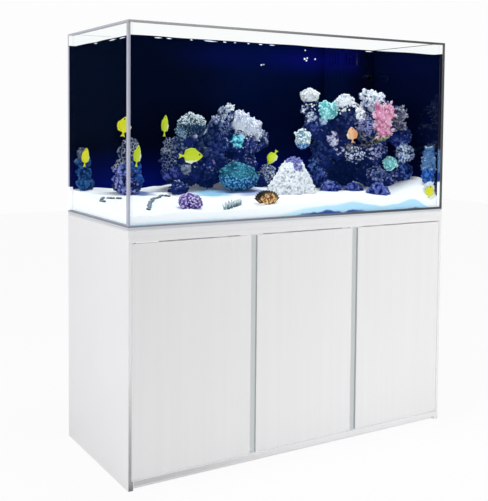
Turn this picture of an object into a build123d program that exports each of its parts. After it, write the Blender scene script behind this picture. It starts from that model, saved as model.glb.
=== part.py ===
from build123d import *
import math
import os
import random

# A rimless reef tank on a three-door cabinet. X is the width, -Y the front, Z is up.
# The origin is on the floor under the middle of the footprint.

# Overall sizes
WIDTH = 1200.0
DEPTH = 500.0
TANK_FLOOR_Z = 750.0
RIM_Z = 1340.0
WATER_Z = 1300.0

# Tank
GLASS = 12.0
GLASS_ARRIS = 1.2
FILM = 0.5
FILM_ABOVE_WATER = 3.0
SEAM = 7.0
SEAM_BELOW_RIM = 4.0
MAT = 3.0
MAT_INSET = 3.0

# Sand, a bed whose top slopes down towards the front and the left
SAND_MIDDLE_Z = 816.0
SAND_RISE_X = 0.018
SAND_RISE_Y = 0.10

# Cabinet boards
BOARD = 16.0
BOARD_EDGE = 0.8
TOP_OVERHANG = 1.0
SIDE_REBATE = (6.0, 20.0)
RAIL_DEPTH = 100.0
PLINTH_HEIGHT = 12.0
PLINTH_SETBACK = 14.0
REAR_PLINTH_SETBACK = 34.0
BACK_PANEL = 6.0
BACK_RECESS = 10.0
BACK_CLEARANCE = 0.2
HOSE_OPENING = (220.0, 90.0)
HOSE_OPENING_RADIUS = 25.0
HOSE_OPENING_Z = 640.0
PASS_OPENING = (110.0, 130.0)
PASS_OPENING_RADIUS = 20.0
PASS_OPENING_CENTRE = (150.0, 560.0)

# Doors and their finger gaps; the left door is the widest, and the outer ones lie in rebates of the sides
DOOR = 16.0
DOOR_SIDE_GAP = 2.5
DOOR_TOP_GAP = 4.0
DOOR_FLOOR_GAP = 3.0
LEFT_GRIP_X = -182.0
RIGHT_GRIP_X = 211.5
GRIP_GAP = 22.0
GRIP_LAND = 9.0
GRIP_BEVEL = 7.0
HINGE_EDGE_RADIUS = 3.0
DOOR_EDGE = 0.8

# Grip channels, folded aluminium on the front edges of the partitions
CHANNEL_WIDTH = 76.0
CHANNEL_WALL = 1.5
CHANNEL_FLOOR_Y = -226.0
CHANNEL_STOP_GAP = 0.5
CHANNEL_LIP = 4.0

# Pivot hinges: a steel pin in the carcass runs in a square bush let into the door's edge
PIVOT_INSET = 10.0
PIN_RADIUS = 3.0
PIN_REACH = 15.0
PIN_SHANK = 12.0
BUSH_SIDE = 10.0
BUSH_DEPTH = 15.0
RUNNING_CLEARANCE = 0.05

# Magnetic catches under the front rail
CATCH_FROM_GRIP = 95.0
CATCH_SIZE = (44.0, 17.0, 15.0)
CATCH_CORNER = 3.0
MAGNET_SIZE = (32.0, 12.0, 9.0)
MAGNET_PROUD = 0.5
STRIKE_SIZE = (38.0, 1.2, 13.0)
STRIKE_CORNER = 2.0
CATCH_GAP = 0.3

# Faceted rock
BOULDER_FACETS = 20
PEBBLE_FACETS = 12
PEBBLE_RADIUS = 37.0
BOULDER_REACH = (0.82, 0.98)
GOLDEN_ANGLE = math.pi * (3.0 - math.sqrt(5.0))

# Overflow in the rear right corner, and the pipes through the tank's floor
WEIR_WALL = 5.0
WEIR_SIZE = (150.0, 107.5)
WEIR_TOP_Z = 1268.0
COMB_TOP_Z = 1312.0
COMB_SLOT = 8.0
COMB_PITCH = 18.0
COMB_SLOT_DEPTH = 34.0
DRAIN_PLACE = (474.0, 185.0)
DRAIN_RADIUS = 20.0
DRAIN_TOP_Z = 1262.0
DRAIN_END_Z = 150.0
RETURN_PLACE = (545.0, 185.0)
RETURN_RADIUS = 12.5
RETURN_RUN_Z = 1230.0
RETURN_MOUTH_Y = 92.0
PIPE_WALL = 2.5
PIPE_FIT = 0.2
FLANGE_OVERLAP = 10.0
FLANGE = 7.0
PLUMBING_CUTOUT = ((438.0, 574.0), (148.0, 222.0))

# Sump and pump in the right bay
SUMP_X = (226.0, 574.0)
SUMP_Y = (-172.0, 226.0)
SUMP_HEIGHT = 302.0
SUMP_WALL = 5.0
BAFFLE_X = (498.0, 514.0)
BAFFLE_SPAN = ((0.0, 217.0), (27.0, 262.0))
PUMP_SIZE = (42.0, 92.0, 50.0)
PUMP_SETBACK = 15.0
PUMP_EDGE = 5.0
PUMP_RIB = (2.0, 6.0)
PUMP_RIBS = 6
PUMP_OUTLET = 30.0

# Planes that follow from the driving sizes
FRONT = -DEPTH / 2
REAR = DEPTH / 2
HALF = WIDTH / 2
PANE_BACK = REAR - FILM
WALL_BOTTOM_Z = TANK_FLOOR_Z + GLASS
PANE_RIGHT = HALF - FILM
INNER_LEFT = -HALF + GLASS
INNER_RIGHT = PANE_RIGHT - GLASS
INNER_FRONT = FRONT + GLASS
INNER_BACK = PANE_BACK - GLASS
MAT_Z = TANK_FLOOR_Z - MAT
RAIL_TOP_Z = MAT_Z - BOARD
RAIL_Z = RAIL_TOP_Z - BOARD
FLOOR_BOARD_Z = PLINTH_HEIGHT + BOARD
BAY_X = HALF - TOP_OVERHANG - BOARD
DOOR_BAY_X = BAY_X + SIDE_REBATE[0]
BACK_PANEL_Y = REAR - BACK_RECESS - BACK_PANEL
WEIR_X = INNER_RIGHT - WEIR_SIZE[0]
WEIR_Y = INNER_BACK - WEIR_SIZE[1]
SUMP_FLOOR_Z = FLOOR_BOARD_Z + SUMP_WALL
DOOR_Z = FLOOR_BOARD_Z + DOOR_FLOOR_GAP
DOOR_TOP_Z = RAIL_Z - DOOR_TOP_GAP
DOOR_BACK = FRONT + DOOR
PIVOT_Y = FRONT + DOOR / 2

os.makedirs("parts", exist_ok=True)


def save(name, solid):
    export_step(solid, f"parts/{name}.step")


def block(x_span, y_span, z_span):
    size = [high - low for low, high in (x_span, y_span, z_span)]
    centre = [(high + low) / 2 for low, high in (x_span, y_span, z_span)]
    return Pos(*centre) * Box(*size)


def board(x_span, y_span, z_span):
    return chamfer(block(x_span, y_span, z_span).edges(), BOARD_EDGE)


def pane(x_span, y_span, z_span):
    return chamfer(block(x_span, y_span, z_span).edges(), GLASS_ARRIS)


def rod(place, radius, z_span):
    low, high = z_span
    return Pos(*place, (low + high) / 2) * Cylinder(radius, high - low)


# Tank: the walls stand on the base, the side panes between the front and rear ones
base_glass = pane((-HALF, PANE_RIGHT), (FRONT, PANE_BACK), (TANK_FLOOR_Z, WALL_BOTTOM_Z))
for place, radius in ((DRAIN_PLACE, DRAIN_RADIUS), (RETURN_PLACE, RETURN_RADIUS)):
    base_glass -= rod(place, radius, (TANK_FLOOR_Z, WALL_BOTTOM_Z))
front_glass = pane((-HALF, PANE_RIGHT), (FRONT, INNER_FRONT), (WALL_BOTTOM_Z, RIM_Z))
rear_glass = pane((-HALF, PANE_RIGHT), (INNER_BACK, PANE_BACK), (WALL_BOTTOM_Z, RIM_Z))
left_glass = pane((-HALF, INNER_LEFT), (INNER_FRONT, INNER_BACK), (WALL_BOTTOM_Z, RIM_Z))
right_glass = pane((INNER_RIGHT, PANE_RIGHT), (INNER_FRONT, INNER_BACK), (WALL_BOTTOM_Z, RIM_Z))
save("base_glass", base_glass)
save("front_glass", front_glass)
save("rear_glass", rear_glass)
save("left_glass", left_glass)
save("right_glass", right_glass)

# Dark film on the outside of the rear and right panes reaches a little above the water line
film_inset = 2 * GLASS_ARRIS
film_z = (WALL_BOTTOM_Z + film_inset, WATER_Z + FILM_ABOVE_WATER)
background_film = [
    block((-HALF + film_inset, PANE_RIGHT - film_inset), (PANE_BACK, REAR), film_z),
    block((PANE_RIGHT, HALF), (INNER_FRONT + film_inset, INNER_BACK - film_inset), film_z),
]
save("background_film", Compound(children=background_film))

# Silicone: a bead all round the floor, and one up each inner corner
inner_centre = ((INNER_LEFT + INNER_RIGHT) / 2, (INNER_FRONT + INNER_BACK) / 2)
inner_width = INNER_RIGHT - INNER_LEFT
inner_depth = INNER_BACK - INNER_FRONT
floor_plane = Plane((*inner_centre, WALL_BOTTOM_Z))
bead_top_plane = floor_plane.offset(SEAM)
bead_hollow = loft(
    [
        floor_plane * Rectangle(inner_width - 2 * SEAM, inner_depth - 2 * SEAM),
        bead_top_plane * Rectangle(inner_width, inner_depth),
    ]
)
floor_seam = extrude(floor_plane * Rectangle(inner_width, inner_depth), SEAM) - bead_hollow
save("floor_seam", floor_seam)


def corner_bead(x_side, y_side):
    corner = (INNER_LEFT if x_side < 0 else INNER_RIGHT, INNER_FRONT if y_side < 0 else INNER_BACK)
    along_x = (corner[0] - x_side * SEAM, corner[1])
    along_y = (corner[0], corner[1] - y_side * SEAM)
    hollow = RadiusArc(along_x, along_y, x_side * y_side * -SEAM * 1.6)
    outline = Line(corner, along_x) + hollow + Line(along_y, corner)
    section = Plane((0, 0, WALL_BOTTOM_Z + SEAM)) * make_face(outline)
    return extrude(section, RIM_Z - SEAM_BELOW_RIM - WALL_BOTTOM_Z - SEAM)


corner_seams = [corner_bead(x_side, y_side) for x_side in (-1, 1) for y_side in (-1, 1)]
save("corner_seams", Compound(children=corner_seams))

# Foam mat that evens out the board under the tank
levelling_mat = chamfer(
    block(
        (-HALF + MAT_INSET, HALF - MAT_INSET),
        (FRONT + MAT_INSET, REAR - MAT_INSET),
        (MAT_Z, TANK_FLOOR_Z),
    ).edges().filter_by(Axis.Z),
    MAT_INSET,
)
save("levelling_mat", levelling_mat - block(*PLUMBING_CUTOUT, (MAT_Z, TANK_FLOOR_Z)))


def sand_height(x, y):
    return SAND_MIDDLE_Z + SAND_RISE_X * x + SAND_RISE_Y * y


SAND_PLANE = Plane((0, 0, SAND_MIDDLE_Z), z_dir=(-SAND_RISE_X, -SAND_RISE_Y, 1.0))
sand_block = block((INNER_LEFT, INNER_RIGHT), (INNER_FRONT, INNER_BACK), (WALL_BOTTOM_Z, RIM_Z))
sand_bed = split(sand_block, bisect_by=SAND_PLANE, keep=Keep.BOTTOM) - floor_seam
for bead in corner_seams:
    sand_bed -= bead
sand_bed -= block((WEIR_X, INNER_RIGHT), (WEIR_Y, INNER_BACK), (WALL_BOTTOM_Z, RIM_Z))
save("sand_bed", sand_bed)


def weir_wall(z_span):
    # Two walls that box off the corner between the rear pane and the right one
    around = block((WEIR_X, INNER_RIGHT), (WEIR_Y, INNER_BACK), z_span)
    return around - block((WEIR_X + WEIR_WALL, INNER_RIGHT), (WEIR_Y + WEIR_WALL, INNER_BACK), z_span)


# Overflow: water runs through the comb into the corner, down the drain, and back by the return pipe
weir_box = weir_wall((WALL_BOTTOM_Z, WEIR_TOP_Z)) - floor_seam
return_hole = Plane((RETURN_PLACE[0], WEIR_Y, RETURN_RUN_Z), x_dir=(1, 0, 0), z_dir=(0, 1, 0))
weir_box -= extrude(return_hole * Circle(RETURN_RADIUS + PIPE_FIT), WEIR_WALL)
weir_comb = weir_wall((WEIR_TOP_Z, COMB_TOP_Z))
slot_z = (COMB_TOP_Z - COMB_SLOT_DEPTH, COMB_TOP_Z)
for slot in range(math.floor((WEIR_SIZE[0] - COMB_PITCH) / COMB_PITCH)):
    slot_x = WEIR_X + COMB_PITCH * (slot + 1)
    weir_comb -= block((slot_x, slot_x + COMB_SLOT), (WEIR_Y, WEIR_Y + WEIR_WALL), slot_z)
for slot in range(math.floor((WEIR_SIZE[1] - COMB_PITCH) / COMB_PITCH)):
    slot_y = WEIR_Y + COMB_PITCH * (slot + 1)
    weir_comb -= block((WEIR_X, WEIR_X + WEIR_WALL), (slot_y, slot_y + COMB_SLOT), slot_z)
save("weir_box", weir_box)
save("weir_comb", weir_comb)

pump_top_z = SUMP_FLOOR_Z + PUMP_SIZE[2] + PUMP_OUTLET
drain_pipe = rod(DRAIN_PLACE, DRAIN_RADIUS, (DRAIN_END_Z, DRAIN_TOP_Z))
drain_pipe -= rod(DRAIN_PLACE, DRAIN_RADIUS - PIPE_WALL, (DRAIN_END_Z, DRAIN_TOP_Z))
save("drain_pipe", drain_pipe)


def return_run(radius):
    # A riser and an outlet that meet in a square elbow
    elbow = Plane((*RETURN_PLACE, RETURN_RUN_Z), x_dir=(1, 0, 0), z_dir=(0, -1, 0))
    outlet = extrude(elbow * Circle(radius), RETURN_PLACE[1] - RETURN_MOUTH_Y)
    return rod(RETURN_PLACE, radius, (pump_top_z, RETURN_RUN_Z + radius)) + outlet


save("return_pipe", return_run(RETURN_RADIUS) - return_run(RETURN_RADIUS - PIPE_WALL))


def bulkhead(place, pipe_radius):
    # A bonded collar that seals a pipe where it comes up through the base glass
    collar_z = (WALL_BOTTOM_Z, WALL_BOTTOM_Z + FLANGE)
    return rod(place, pipe_radius + FLANGE_OVERLAP, collar_z) - rod(place, pipe_radius, collar_z)


bulkhead_fittings = [bulkhead(DRAIN_PLACE, DRAIN_RADIUS), bulkhead(RETURN_PLACE, RETURN_RADIUS)]
save("bulkhead_fittings", Compound(children=bulkhead_fittings))


def boulder(centre, radii, seed, facets=BOULDER_FACETS):
    # A lump with flat chipped faces, spread evenly round it
    chance = random.Random(seed)
    lump = Pos(*centre) * Box(*[3 * radius for radius in radii])
    for facet in range(facets):
        height = 1.0 - (2 * facet + 1.0) / facets
        turn = facet * GOLDEN_ANGLE + chance.uniform(-0.35, 0.35)
        ring = math.sqrt(1.0 - height * height)
        normal = (ring * math.cos(turn), ring * math.sin(turn), height)
        reach = math.hypot(*[radius * part for radius, part in zip(radii, normal)])
        reach *= chance.uniform(*BOULDER_REACH)
        point = [place + reach * part for place, part in zip(centre, normal)]
        lump = split(lump, bisect_by=Plane(point, z_dir=normal), keep=Keep.BOTTOM)
    return lump


def grown_together(lumps, seed):
    # Lumps given as x, y, z and radius; small ones have fewer faces
    boulders = []
    for number, (x, y, z, radius) in enumerate(lumps):
        radii = (1.12 * radius, radius, 0.95 * radius)
        facets = BOULDER_FACETS if radius > PEBBLE_RADIUS else PEBBLE_FACETS
        boulders.append(boulder((x, y, z), radii, seed + number, facets))
    return boulders[0].fuse(*boulders[1:]) if len(boulders) > 1 else boulders[0]


def rock(lumps, seed):
    # Rock stands on the sand
    return split(grown_together(lumps, seed), bisect_by=SAND_PLANE, keep=Keep.TOP)


def largest(shape):
    return shape.solids().sort_by(SortBy.VOLUME)[-1]


def twig(start, tip, radius, taper):
    # A tapering six-sided branch
    run = Vector(*tip) - Vector(*start)
    section = Plane(start, z_dir=run) * RegularPolygon(radius, 6)
    return extrude(section, run.length, taper=taper)


def branching(root, reach, rise, count, radius, seed):
    # Branches that fan out and up from a knob
    chance = random.Random(seed)
    pieces = [boulder(root, (radius * 1.9, radius * 1.9, radius * 1.6), seed)]
    for number in range(count):
        turn = 2 * math.pi * (number + chance.uniform(-0.2, 0.2)) / count
        spread = reach * chance.uniform(0.45, 1.0)
        tip = (
            root[0] + spread * math.cos(turn),
            root[1] + spread * math.sin(turn),
            root[2] + rise * chance.uniform(0.75, 1.0),
        )
        pieces.append(twig(root, tip, radius, 3.0))
    return pieces[0].fuse(*pieces[1:])


# Two reefs, the left one a twin-peaked mound, the right one an arch over a cave
left_reef_rock = rock(
    [
        (-302, 110, 888, 27),
        (-305, 108, 925, 24),
        (-303, 106, 958, 22),
        (-301, 106, 985, 17),
        (-271, 112, 928, 30),
        (-206, 125, 1034, 42),
        (-236, 122, 1024, 28),
        (-220, 130, 974, 55),
        (-241, 125, 893, 64),
        (-139, 135, 904, 76),
        (-25, 130, 888, 71),
        (-116, 135, 987, 60),
        (-21, 125, 983, 61),
        (-99, 130, 1040, 40),
        (-72, 130, 1075, 30),
        (-56, 130, 1104, 18),
        (-15, 122, 1056, 35),
        (22, 118, 1030, 38),
        (60, 115, 998, 35),
        (90, 110, 876, 32),
        (62, 108, 844, 36),
        (-282, 62, 831, 32),
    ],
    seed=10,
)
right_reef_rock = rock(
    [
        (238, 5, 860, 38),
        (254, 10, 910, 40),
        (383, 48, 894, 72),
        (462, -20, 892, 74),
        (453, -85, 860, 56),
        (532, -112, 881, 38),
        (535, -118, 943, 36),
        (254, 0, 967, 42),
        (303, -30, 968, 42),
        (351, -55, 950, 42),
        (418, -85, 954, 49),
        (231, 0, 1042, 48),
        (208, 5, 1106, 38),
        (309, -15, 1032, 66),
        (356, -40, 1079, 58),
        (434, -75, 1033, 69),
        (470, -90, 1084, 48),
        (320, -45, 1122, 35),
        (419, -80, 1135, 41),
        (518, -105, 1013, 45),
        (387, -72, 1154, 19),
    ],
    seed=40,
)
rubble_rock = rock(
    [(28, -72, 826, 36), (78, -82, 832, 42), (132, -62, 830, 38), (82, -62, 872, 32), (90, -58, 914, 26)],
    seed=70,
)
corner_rock = rock(
    [(-445, 112, 852, 44), (-445, 112, 905, 37), (-441, 114, 952, 31), (-437, 114, 978, 23)],
    seed=80,
)
rear_rock = rock(
    [(-557, 205, 850, 26), (-561, 207, 888, 22), (-563, 208, 922, 20), (-564, 208, 952, 17)],
    seed=90,
)
right_end_rock = rock(
    [
        (568, -212, 822, 13), (567, -214, 843, 13), (563, -215, 870, 17),
        (563, -216, 900, 18), (563, -216, 932, 18), (565, -218, 962, 15),
    ],
    seed=100,
)
save("left_reef_rock", left_reef_rock)
save("right_reef_rock", right_reef_rock)
save("rubble_rock", rubble_rock - right_reef_rock)
save("corner_rock", corner_rock)
save("rear_rock", rear_rock)
save("right_end_rock", right_end_rock - right_reef_rock)

sand_stones = [
    rock([(253, -52, 820, 29)], seed=110),
    rock([(327, -94, 818, 26)], seed=111),
    rock([(366, -178, 810, 32)], seed=112),
]
save("sand_stones", Compound(children=[stone - right_reef_rock for stone in sand_stones]))

# Corals grow on the rock and meet it face to face
PLUME_LUMPS = [(-26, 104, 1061, 33), (10, 98, 1037, 37), (29, 98, 1009, 28)]
CORALS = {
    "crown_coral": (boulder((-210, 110, 1046), (52, 45, 37), seed=120), left_reef_rock),
    "plume_coral": (grown_together(PLUME_LUMPS, seed=121), left_reef_rock),
    "dome_coral": (boulder((-65, 46, 870), (76, 50, 46), seed=122), left_reef_rock),
    "plate_coral": (boulder((247, -40, 1100), (42, 32, 35), seed=124), right_reef_rock),
    "knob_coral": (boulder((199, 0, 1152), (40, 37, 27), seed=123), right_reef_rock),
    "fan_coral": (branching((412, -148, 1030), 46, 92, 8, 12.0, seed=125), right_reef_rock),
    "ball_coral": (boulder((157, -20, 1000), (34, 34, 41), seed=126), right_reef_rock),
    "green_coral": (boulder((457, -134, 916), (30, 28, 29), seed=128), right_reef_rock),
    "twig_coral": (branching((487, -136, 1052), 44, 58, 7, 9.0, seed=127), right_reef_rock),
}
for name, (coral, host) in CORALS.items():
    save(name, largest(coral - host))

# A brain coral and a clam lie on the sand near the front
brain_x, brain_y = -366.0, -178.0
brain_coral = boulder((brain_x, brain_y, sand_height(brain_x, brain_y) + 20), (37, 35, 33), seed=130)
save("brain_coral", split(brain_coral, bisect_by=SAND_PLANE, keep=Keep.TOP))
clam_x, clam_y = -99.0, -192.0
clam_z = sand_height(clam_x, clam_y) + 18
valve_lean = 24.0
valves = []
for side in (-1, 1):
    valve = boulder((0, side * 9.0, 0), (42, 11, 26), seed=140 + side)
    valve = split(valve, bisect_by=Plane.XZ.offset(-side * 1.0), keep=Keep.TOP if side < 0 else Keep.BOTTOM)
    valve = Pos(clam_x, clam_y, clam_z) * Rot(-side * valve_lean, 0, 0) * valve
    valves.append(split(valve, bisect_by=SAND_PLANE, keep=Keep.TOP))
save("clam_valves", Compound(children=valves))

# Cabinet carcass
top_board = board((-HALF, HALF), (FRONT, REAR), (RAIL_TOP_Z, MAT_Z))
save("top_board", top_board - block(*PLUMBING_CUTOUT, (RAIL_TOP_Z, MAT_Z)))
for name, side in (("left_side_panel", -1), ("right_side_panel", 1)):
    x_span = sorted((side * BAY_X, side * (BAY_X + BOARD)))
    rebate_x = sorted((side * BAY_X, side * DOOR_BAY_X))
    rebate = block(rebate_x, (FRONT, FRONT + SIDE_REBATE[1]), (FLOOR_BOARD_Z, RAIL_Z))
    save(name, board(x_span, (FRONT, REAR), (0, RAIL_TOP_Z)) - rebate)


def pivot_hole(x, mouth_z, up):
    return rod((x, PIVOT_Y), PIN_RADIUS, sorted((mouth_z, mouth_z + up * PIN_SHANK)))


LEFT_PIVOT_X = -DOOR_BAY_X + DOOR_SIDE_GAP + PIVOT_INSET
MIDDLE_PIVOT_X = RIGHT_GRIP_X - GRIP_GAP / 2 - PIVOT_INSET
RIGHT_PIVOT_X = -LEFT_PIVOT_X
PIVOTS = (LEFT_PIVOT_X, MIDDLE_PIVOT_X, RIGHT_PIVOT_X)

front_rail = board((-BAY_X, BAY_X), (FRONT, FRONT + RAIL_DEPTH), (RAIL_Z, RAIL_TOP_Z))
bottom_board = board((-BAY_X, BAY_X), (FRONT, BACK_PANEL_Y), (PLINTH_HEIGHT, FLOOR_BOARD_Z))
for pivot_x in PIVOTS:
    front_rail -= pivot_hole(pivot_x, RAIL_Z, 1)
    bottom_board -= pivot_hole(pivot_x, FLOOR_BOARD_Z, -1)
rear_rail = board((-BAY_X, BAY_X), (BACK_PANEL_Y - RAIL_DEPTH, BACK_PANEL_Y), (RAIL_Z, RAIL_TOP_Z))
save("front_rail", front_rail)
save("rear_rail", rear_rail - block(*PLUMBING_CUTOUT, (RAIL_Z, RAIL_TOP_Z)))
save("bottom_board", bottom_board)

front_plinth_y = FRONT + PLINTH_SETBACK
rear_plinth_y = BACK_PANEL_Y - REAR_PLINTH_SETBACK
save("front_plinth", board((-BAY_X, BAY_X), (front_plinth_y, front_plinth_y + BOARD), (0, PLINTH_HEIGHT)))
save("rear_plinth", board((-BAY_X, BAY_X), (rear_plinth_y, rear_plinth_y + BOARD), (0, PLINTH_HEIGHT)))

# Partitions carry the top board between the rails, and let hoses pass from bay to bay
partition_span_y = (CHANNEL_FLOOR_Y, BACK_PANEL_Y)
for name, grip_x in (("left_partition", LEFT_GRIP_X), ("right_partition", RIGHT_GRIP_X)):
    x_span = (grip_x - BOARD / 2, grip_x + BOARD / 2)
    partition = block(x_span, partition_span_y, (FLOOR_BOARD_Z, RAIL_TOP_Z))
    partition -= block(x_span, (CHANNEL_FLOOR_Y, FRONT + RAIL_DEPTH), (RAIL_Z, RAIL_TOP_Z))
    partition -= block(x_span, (BACK_PANEL_Y - RAIL_DEPTH, BACK_PANEL_Y), (RAIL_Z, RAIL_TOP_Z))
    hole_plane = Plane((x_span[0], *PASS_OPENING_CENTRE), x_dir=(0, 1, 0), z_dir=(1, 0, 0))
    partition -= extrude(hole_plane * RectangleRounded(*PASS_OPENING, PASS_OPENING_RADIUS), BOARD)
    save(name, partition)

# Thin back panel, with an opening for hoses and cables behind each bay
back_half = BAY_X - BACK_CLEARANCE
back_panel = block(
    (-back_half, back_half), (BACK_PANEL_Y, BACK_PANEL_Y + BACK_PANEL), (PLINTH_HEIGHT, RAIL_TOP_Z)
)
bay_edges = (-BAY_X, LEFT_GRIP_X, RIGHT_GRIP_X, BAY_X)
for bay_left, bay_right in zip(bay_edges, bay_edges[1:]):
    bay_centre = (bay_left + bay_right) / 2
    hole_plane = Plane((bay_centre, BACK_PANEL_Y, HOSE_OPENING_Z), x_dir=(-1, 0, 0), z_dir=(0, 1, 0))
    back_panel -= extrude(hole_plane * RectangleRounded(*HOSE_OPENING, HOSE_OPENING_RADIUS), BACK_PANEL)
save("back_panel", back_panel)


def grip_channel(centre_x):
    # A folded channel: floor, two walls and two small lips that the closed doors lie on
    half = CHANNEL_WIDTH / 2
    stop_y = DOOR_BACK + CHANNEL_STOP_GAP
    floor_y = CHANNEL_FLOOR_Y - CHANNEL_WALL
    half_outline = [
        (0, CHANNEL_FLOOR_Y),
        (half, CHANNEL_FLOOR_Y),
        (half, stop_y + CHANNEL_WALL),
        (half + CHANNEL_LIP, stop_y + CHANNEL_WALL),
        (half + CHANNEL_LIP, stop_y),
        (half - CHANNEL_WALL, stop_y),
        (half - CHANNEL_WALL, floor_y),
        (0, floor_y),
    ]
    mirrored = [(-x, y) for x, y in reversed(half_outline[1:-1])]
    outline = Polyline(*half_outline, *mirrored, close=True)
    section = Plane((centre_x, 0, FLOOR_BOARD_Z)) * make_face(outline)
    return extrude(section, RAIL_Z - FLOOR_BOARD_Z)


save("left_grip_channel", grip_channel(LEFT_GRIP_X))
save("right_grip_channel", grip_channel(RIGHT_GRIP_X))

# Pins: straight dowels, half in the board and half in the door's bush
lower_pin_z = (FLOOR_BOARD_Z - PIN_SHANK, FLOOR_BOARD_Z + PIN_REACH)
upper_pin_z = (RAIL_Z - PIN_REACH, RAIL_Z + PIN_SHANK)
pivot_pins = []
for pivot_x in PIVOTS:
    for pin_z in (lower_pin_z, upper_pin_z):
        pivot_pins.append(rod((pivot_x, PIVOT_Y), PIN_RADIUS, pin_z))
save("pivot_pins", Compound(children=pivot_pins))


def door_with_bushes(hinge_x, free_x):
    # Plan outline from the hinge edge to the free edge, whose back is bevelled for fingers
    toward = math.copysign(1.0, free_x - hinge_x)
    outline = Polyline(
        (hinge_x, FRONT),
        (free_x, FRONT),
        (free_x, FRONT + GRIP_LAND),
        (free_x - toward * GRIP_BEVEL, DOOR_BACK),
        (hinge_x, DOOR_BACK),
        close=True,
    )
    section = make_face(outline)
    front_corners = section.vertices().group_by(Axis.Y)[0].sort_by(Axis.X)
    hinge_corner = front_corners[0] if toward > 0 else front_corners[-1]
    section = fillet([hinge_corner], HINGE_EDGE_RADIUS)
    leaf = extrude(Plane((0, 0, DOOR_Z)) * section, DOOR_TOP_Z - DOOR_Z)
    ends = leaf.edges().filter_by(Plane.XY).group_by(Axis.Y)[0]
    leaf = chamfer(ends, DOOR_EDGE)
    pivot_x = hinge_x + toward * PIVOT_INSET
    bushes = []
    for mouth_z, inward in ((DOOR_Z, 1), (DOOR_TOP_Z, -1)):
        bush_z = sorted((mouth_z, mouth_z + inward * BUSH_DEPTH))
        side_x = (pivot_x - BUSH_SIDE / 2, pivot_x + BUSH_SIDE / 2)
        side_y = (PIVOT_Y - BUSH_SIDE / 2, PIVOT_Y + BUSH_SIDE / 2)
        bush = block(side_x, side_y, bush_z)
        leaf -= bush
        bushes.append(bush - rod((pivot_x, PIVOT_Y), PIN_RADIUS + RUNNING_CLEARANCE, bush_z))
    return leaf, Compound(children=bushes)


# Doors: the left one hangs on the left, the other two on their right edges
DOORS = {
    "left": (-DOOR_BAY_X + DOOR_SIDE_GAP, LEFT_GRIP_X - GRIP_GAP / 2),
    "middle": (RIGHT_GRIP_X - GRIP_GAP / 2, LEFT_GRIP_X + GRIP_GAP / 2),
    "right": (DOOR_BAY_X - DOOR_SIDE_GAP, RIGHT_GRIP_X + GRIP_GAP / 2),
}
catch_z = RAIL_Z - CATCH_SIZE[2] / 2
magnet_front = DOOR_BACK + STRIKE_SIZE[1] + CATCH_GAP
catch_bodies = []
catch_magnets = []
for name, (hinge_x, free_x) in DOORS.items():
    leaf, bushes = door_with_bushes(hinge_x, free_x)
    catch_x = free_x + math.copysign(CATCH_FROM_GRIP, hinge_x - free_x)
    strike = Pos(catch_x, DOOR_BACK + STRIKE_SIZE[1] / 2, catch_z) * Box(*STRIKE_SIZE)
    strike = chamfer(strike.edges().filter_by(Axis.Y), STRIKE_CORNER)
    magnet_centre_y = magnet_front + MAGNET_SIZE[1] / 2
    magnet = Pos(catch_x, magnet_centre_y, catch_z) * Box(*MAGNET_SIZE)
    body_centre_y = magnet_front + MAGNET_PROUD + CATCH_SIZE[1] / 2
    body = Pos(catch_x, body_centre_y, catch_z) * Box(*CATCH_SIZE)
    body = chamfer(body.edges().filter_by(Axis.Z), CATCH_CORNER) - magnet
    save(f"{name}_door", leaf)
    save(f"{name}_door_bushes", bushes)
    save(f"{name}_strike_plate", strike)
    catch_bodies.append(body)
    catch_magnets.append(magnet)
save("catch_bodies", Compound(children=catch_bodies))
save("catch_magnets", Compound(children=catch_magnets))

# Sump: a bonded box on the bottom board, with two baffles that the water passes over and under
sump_shell = block(SUMP_X, SUMP_Y, (FLOOR_BOARD_Z, FLOOR_BOARD_Z + SUMP_HEIGHT))
sump_inside_x = (SUMP_X[0] + SUMP_WALL, SUMP_X[1] - SUMP_WALL)
sump_inside_y = (SUMP_Y[0] + SUMP_WALL, SUMP_Y[1] - SUMP_WALL)
sump_shell -= block(sump_inside_x, sump_inside_y, (SUMP_FLOOR_Z, FLOOR_BOARD_Z + SUMP_HEIGHT))
sump_plates = [sump_shell]
for baffle_x, (foot, top) in zip(BAFFLE_X, BAFFLE_SPAN):
    baffle_z = (SUMP_FLOOR_Z + foot, SUMP_FLOOR_Z + top)
    sump_plates.append(block((baffle_x, baffle_x + SUMP_WALL), sump_inside_y, baffle_z))
save("sump_box", Compound(children=sump_plates))

# Pump: a ribbed motor block in the last chamber, whose outlet carries the return pipe
pump_centre = (RETURN_PLACE[0], RETURN_PLACE[1] - PUMP_SETBACK, SUMP_FLOOR_Z + PUMP_SIZE[2] / 2)
return_pump = chamfer((Pos(*pump_centre) * Box(*PUMP_SIZE)).edges(), PUMP_EDGE)
rib_depth, rib_width = PUMP_RIB
rib_pitch = (PUMP_SIZE[1] - 2 * PUMP_EDGE) / PUMP_RIBS
rib_z = (SUMP_FLOOR_Z + PUMP_EDGE, SUMP_FLOOR_Z + PUMP_SIZE[2] - PUMP_EDGE)
for rib in range(PUMP_RIBS):
    groove_y = pump_centre[1] - PUMP_SIZE[1] / 2 + PUMP_EDGE + rib * rib_pitch + (rib_pitch - rib_width) / 2
    for side in (-1, 1):
        wall_x = pump_centre[0] + side * PUMP_SIZE[0] / 2
        groove_x = sorted((wall_x, wall_x - side * rib_depth))
        return_pump -= block(groove_x, (groove_y, groove_y + rib_width), rib_z)
outlet_z = (SUMP_FLOOR_Z + PUMP_SIZE[2], pump_top_z)
return_pump += rod(RETURN_PLACE, RETURN_RADIUS, outlet_z)
return_pump -= rod(RETURN_PLACE, RETURN_RADIUS - PIPE_WALL, outlet_z)
save("return_pump", return_pump)
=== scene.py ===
import math
import random

import bmesh
import bpy
from mathutils import Matrix, Vector


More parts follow.
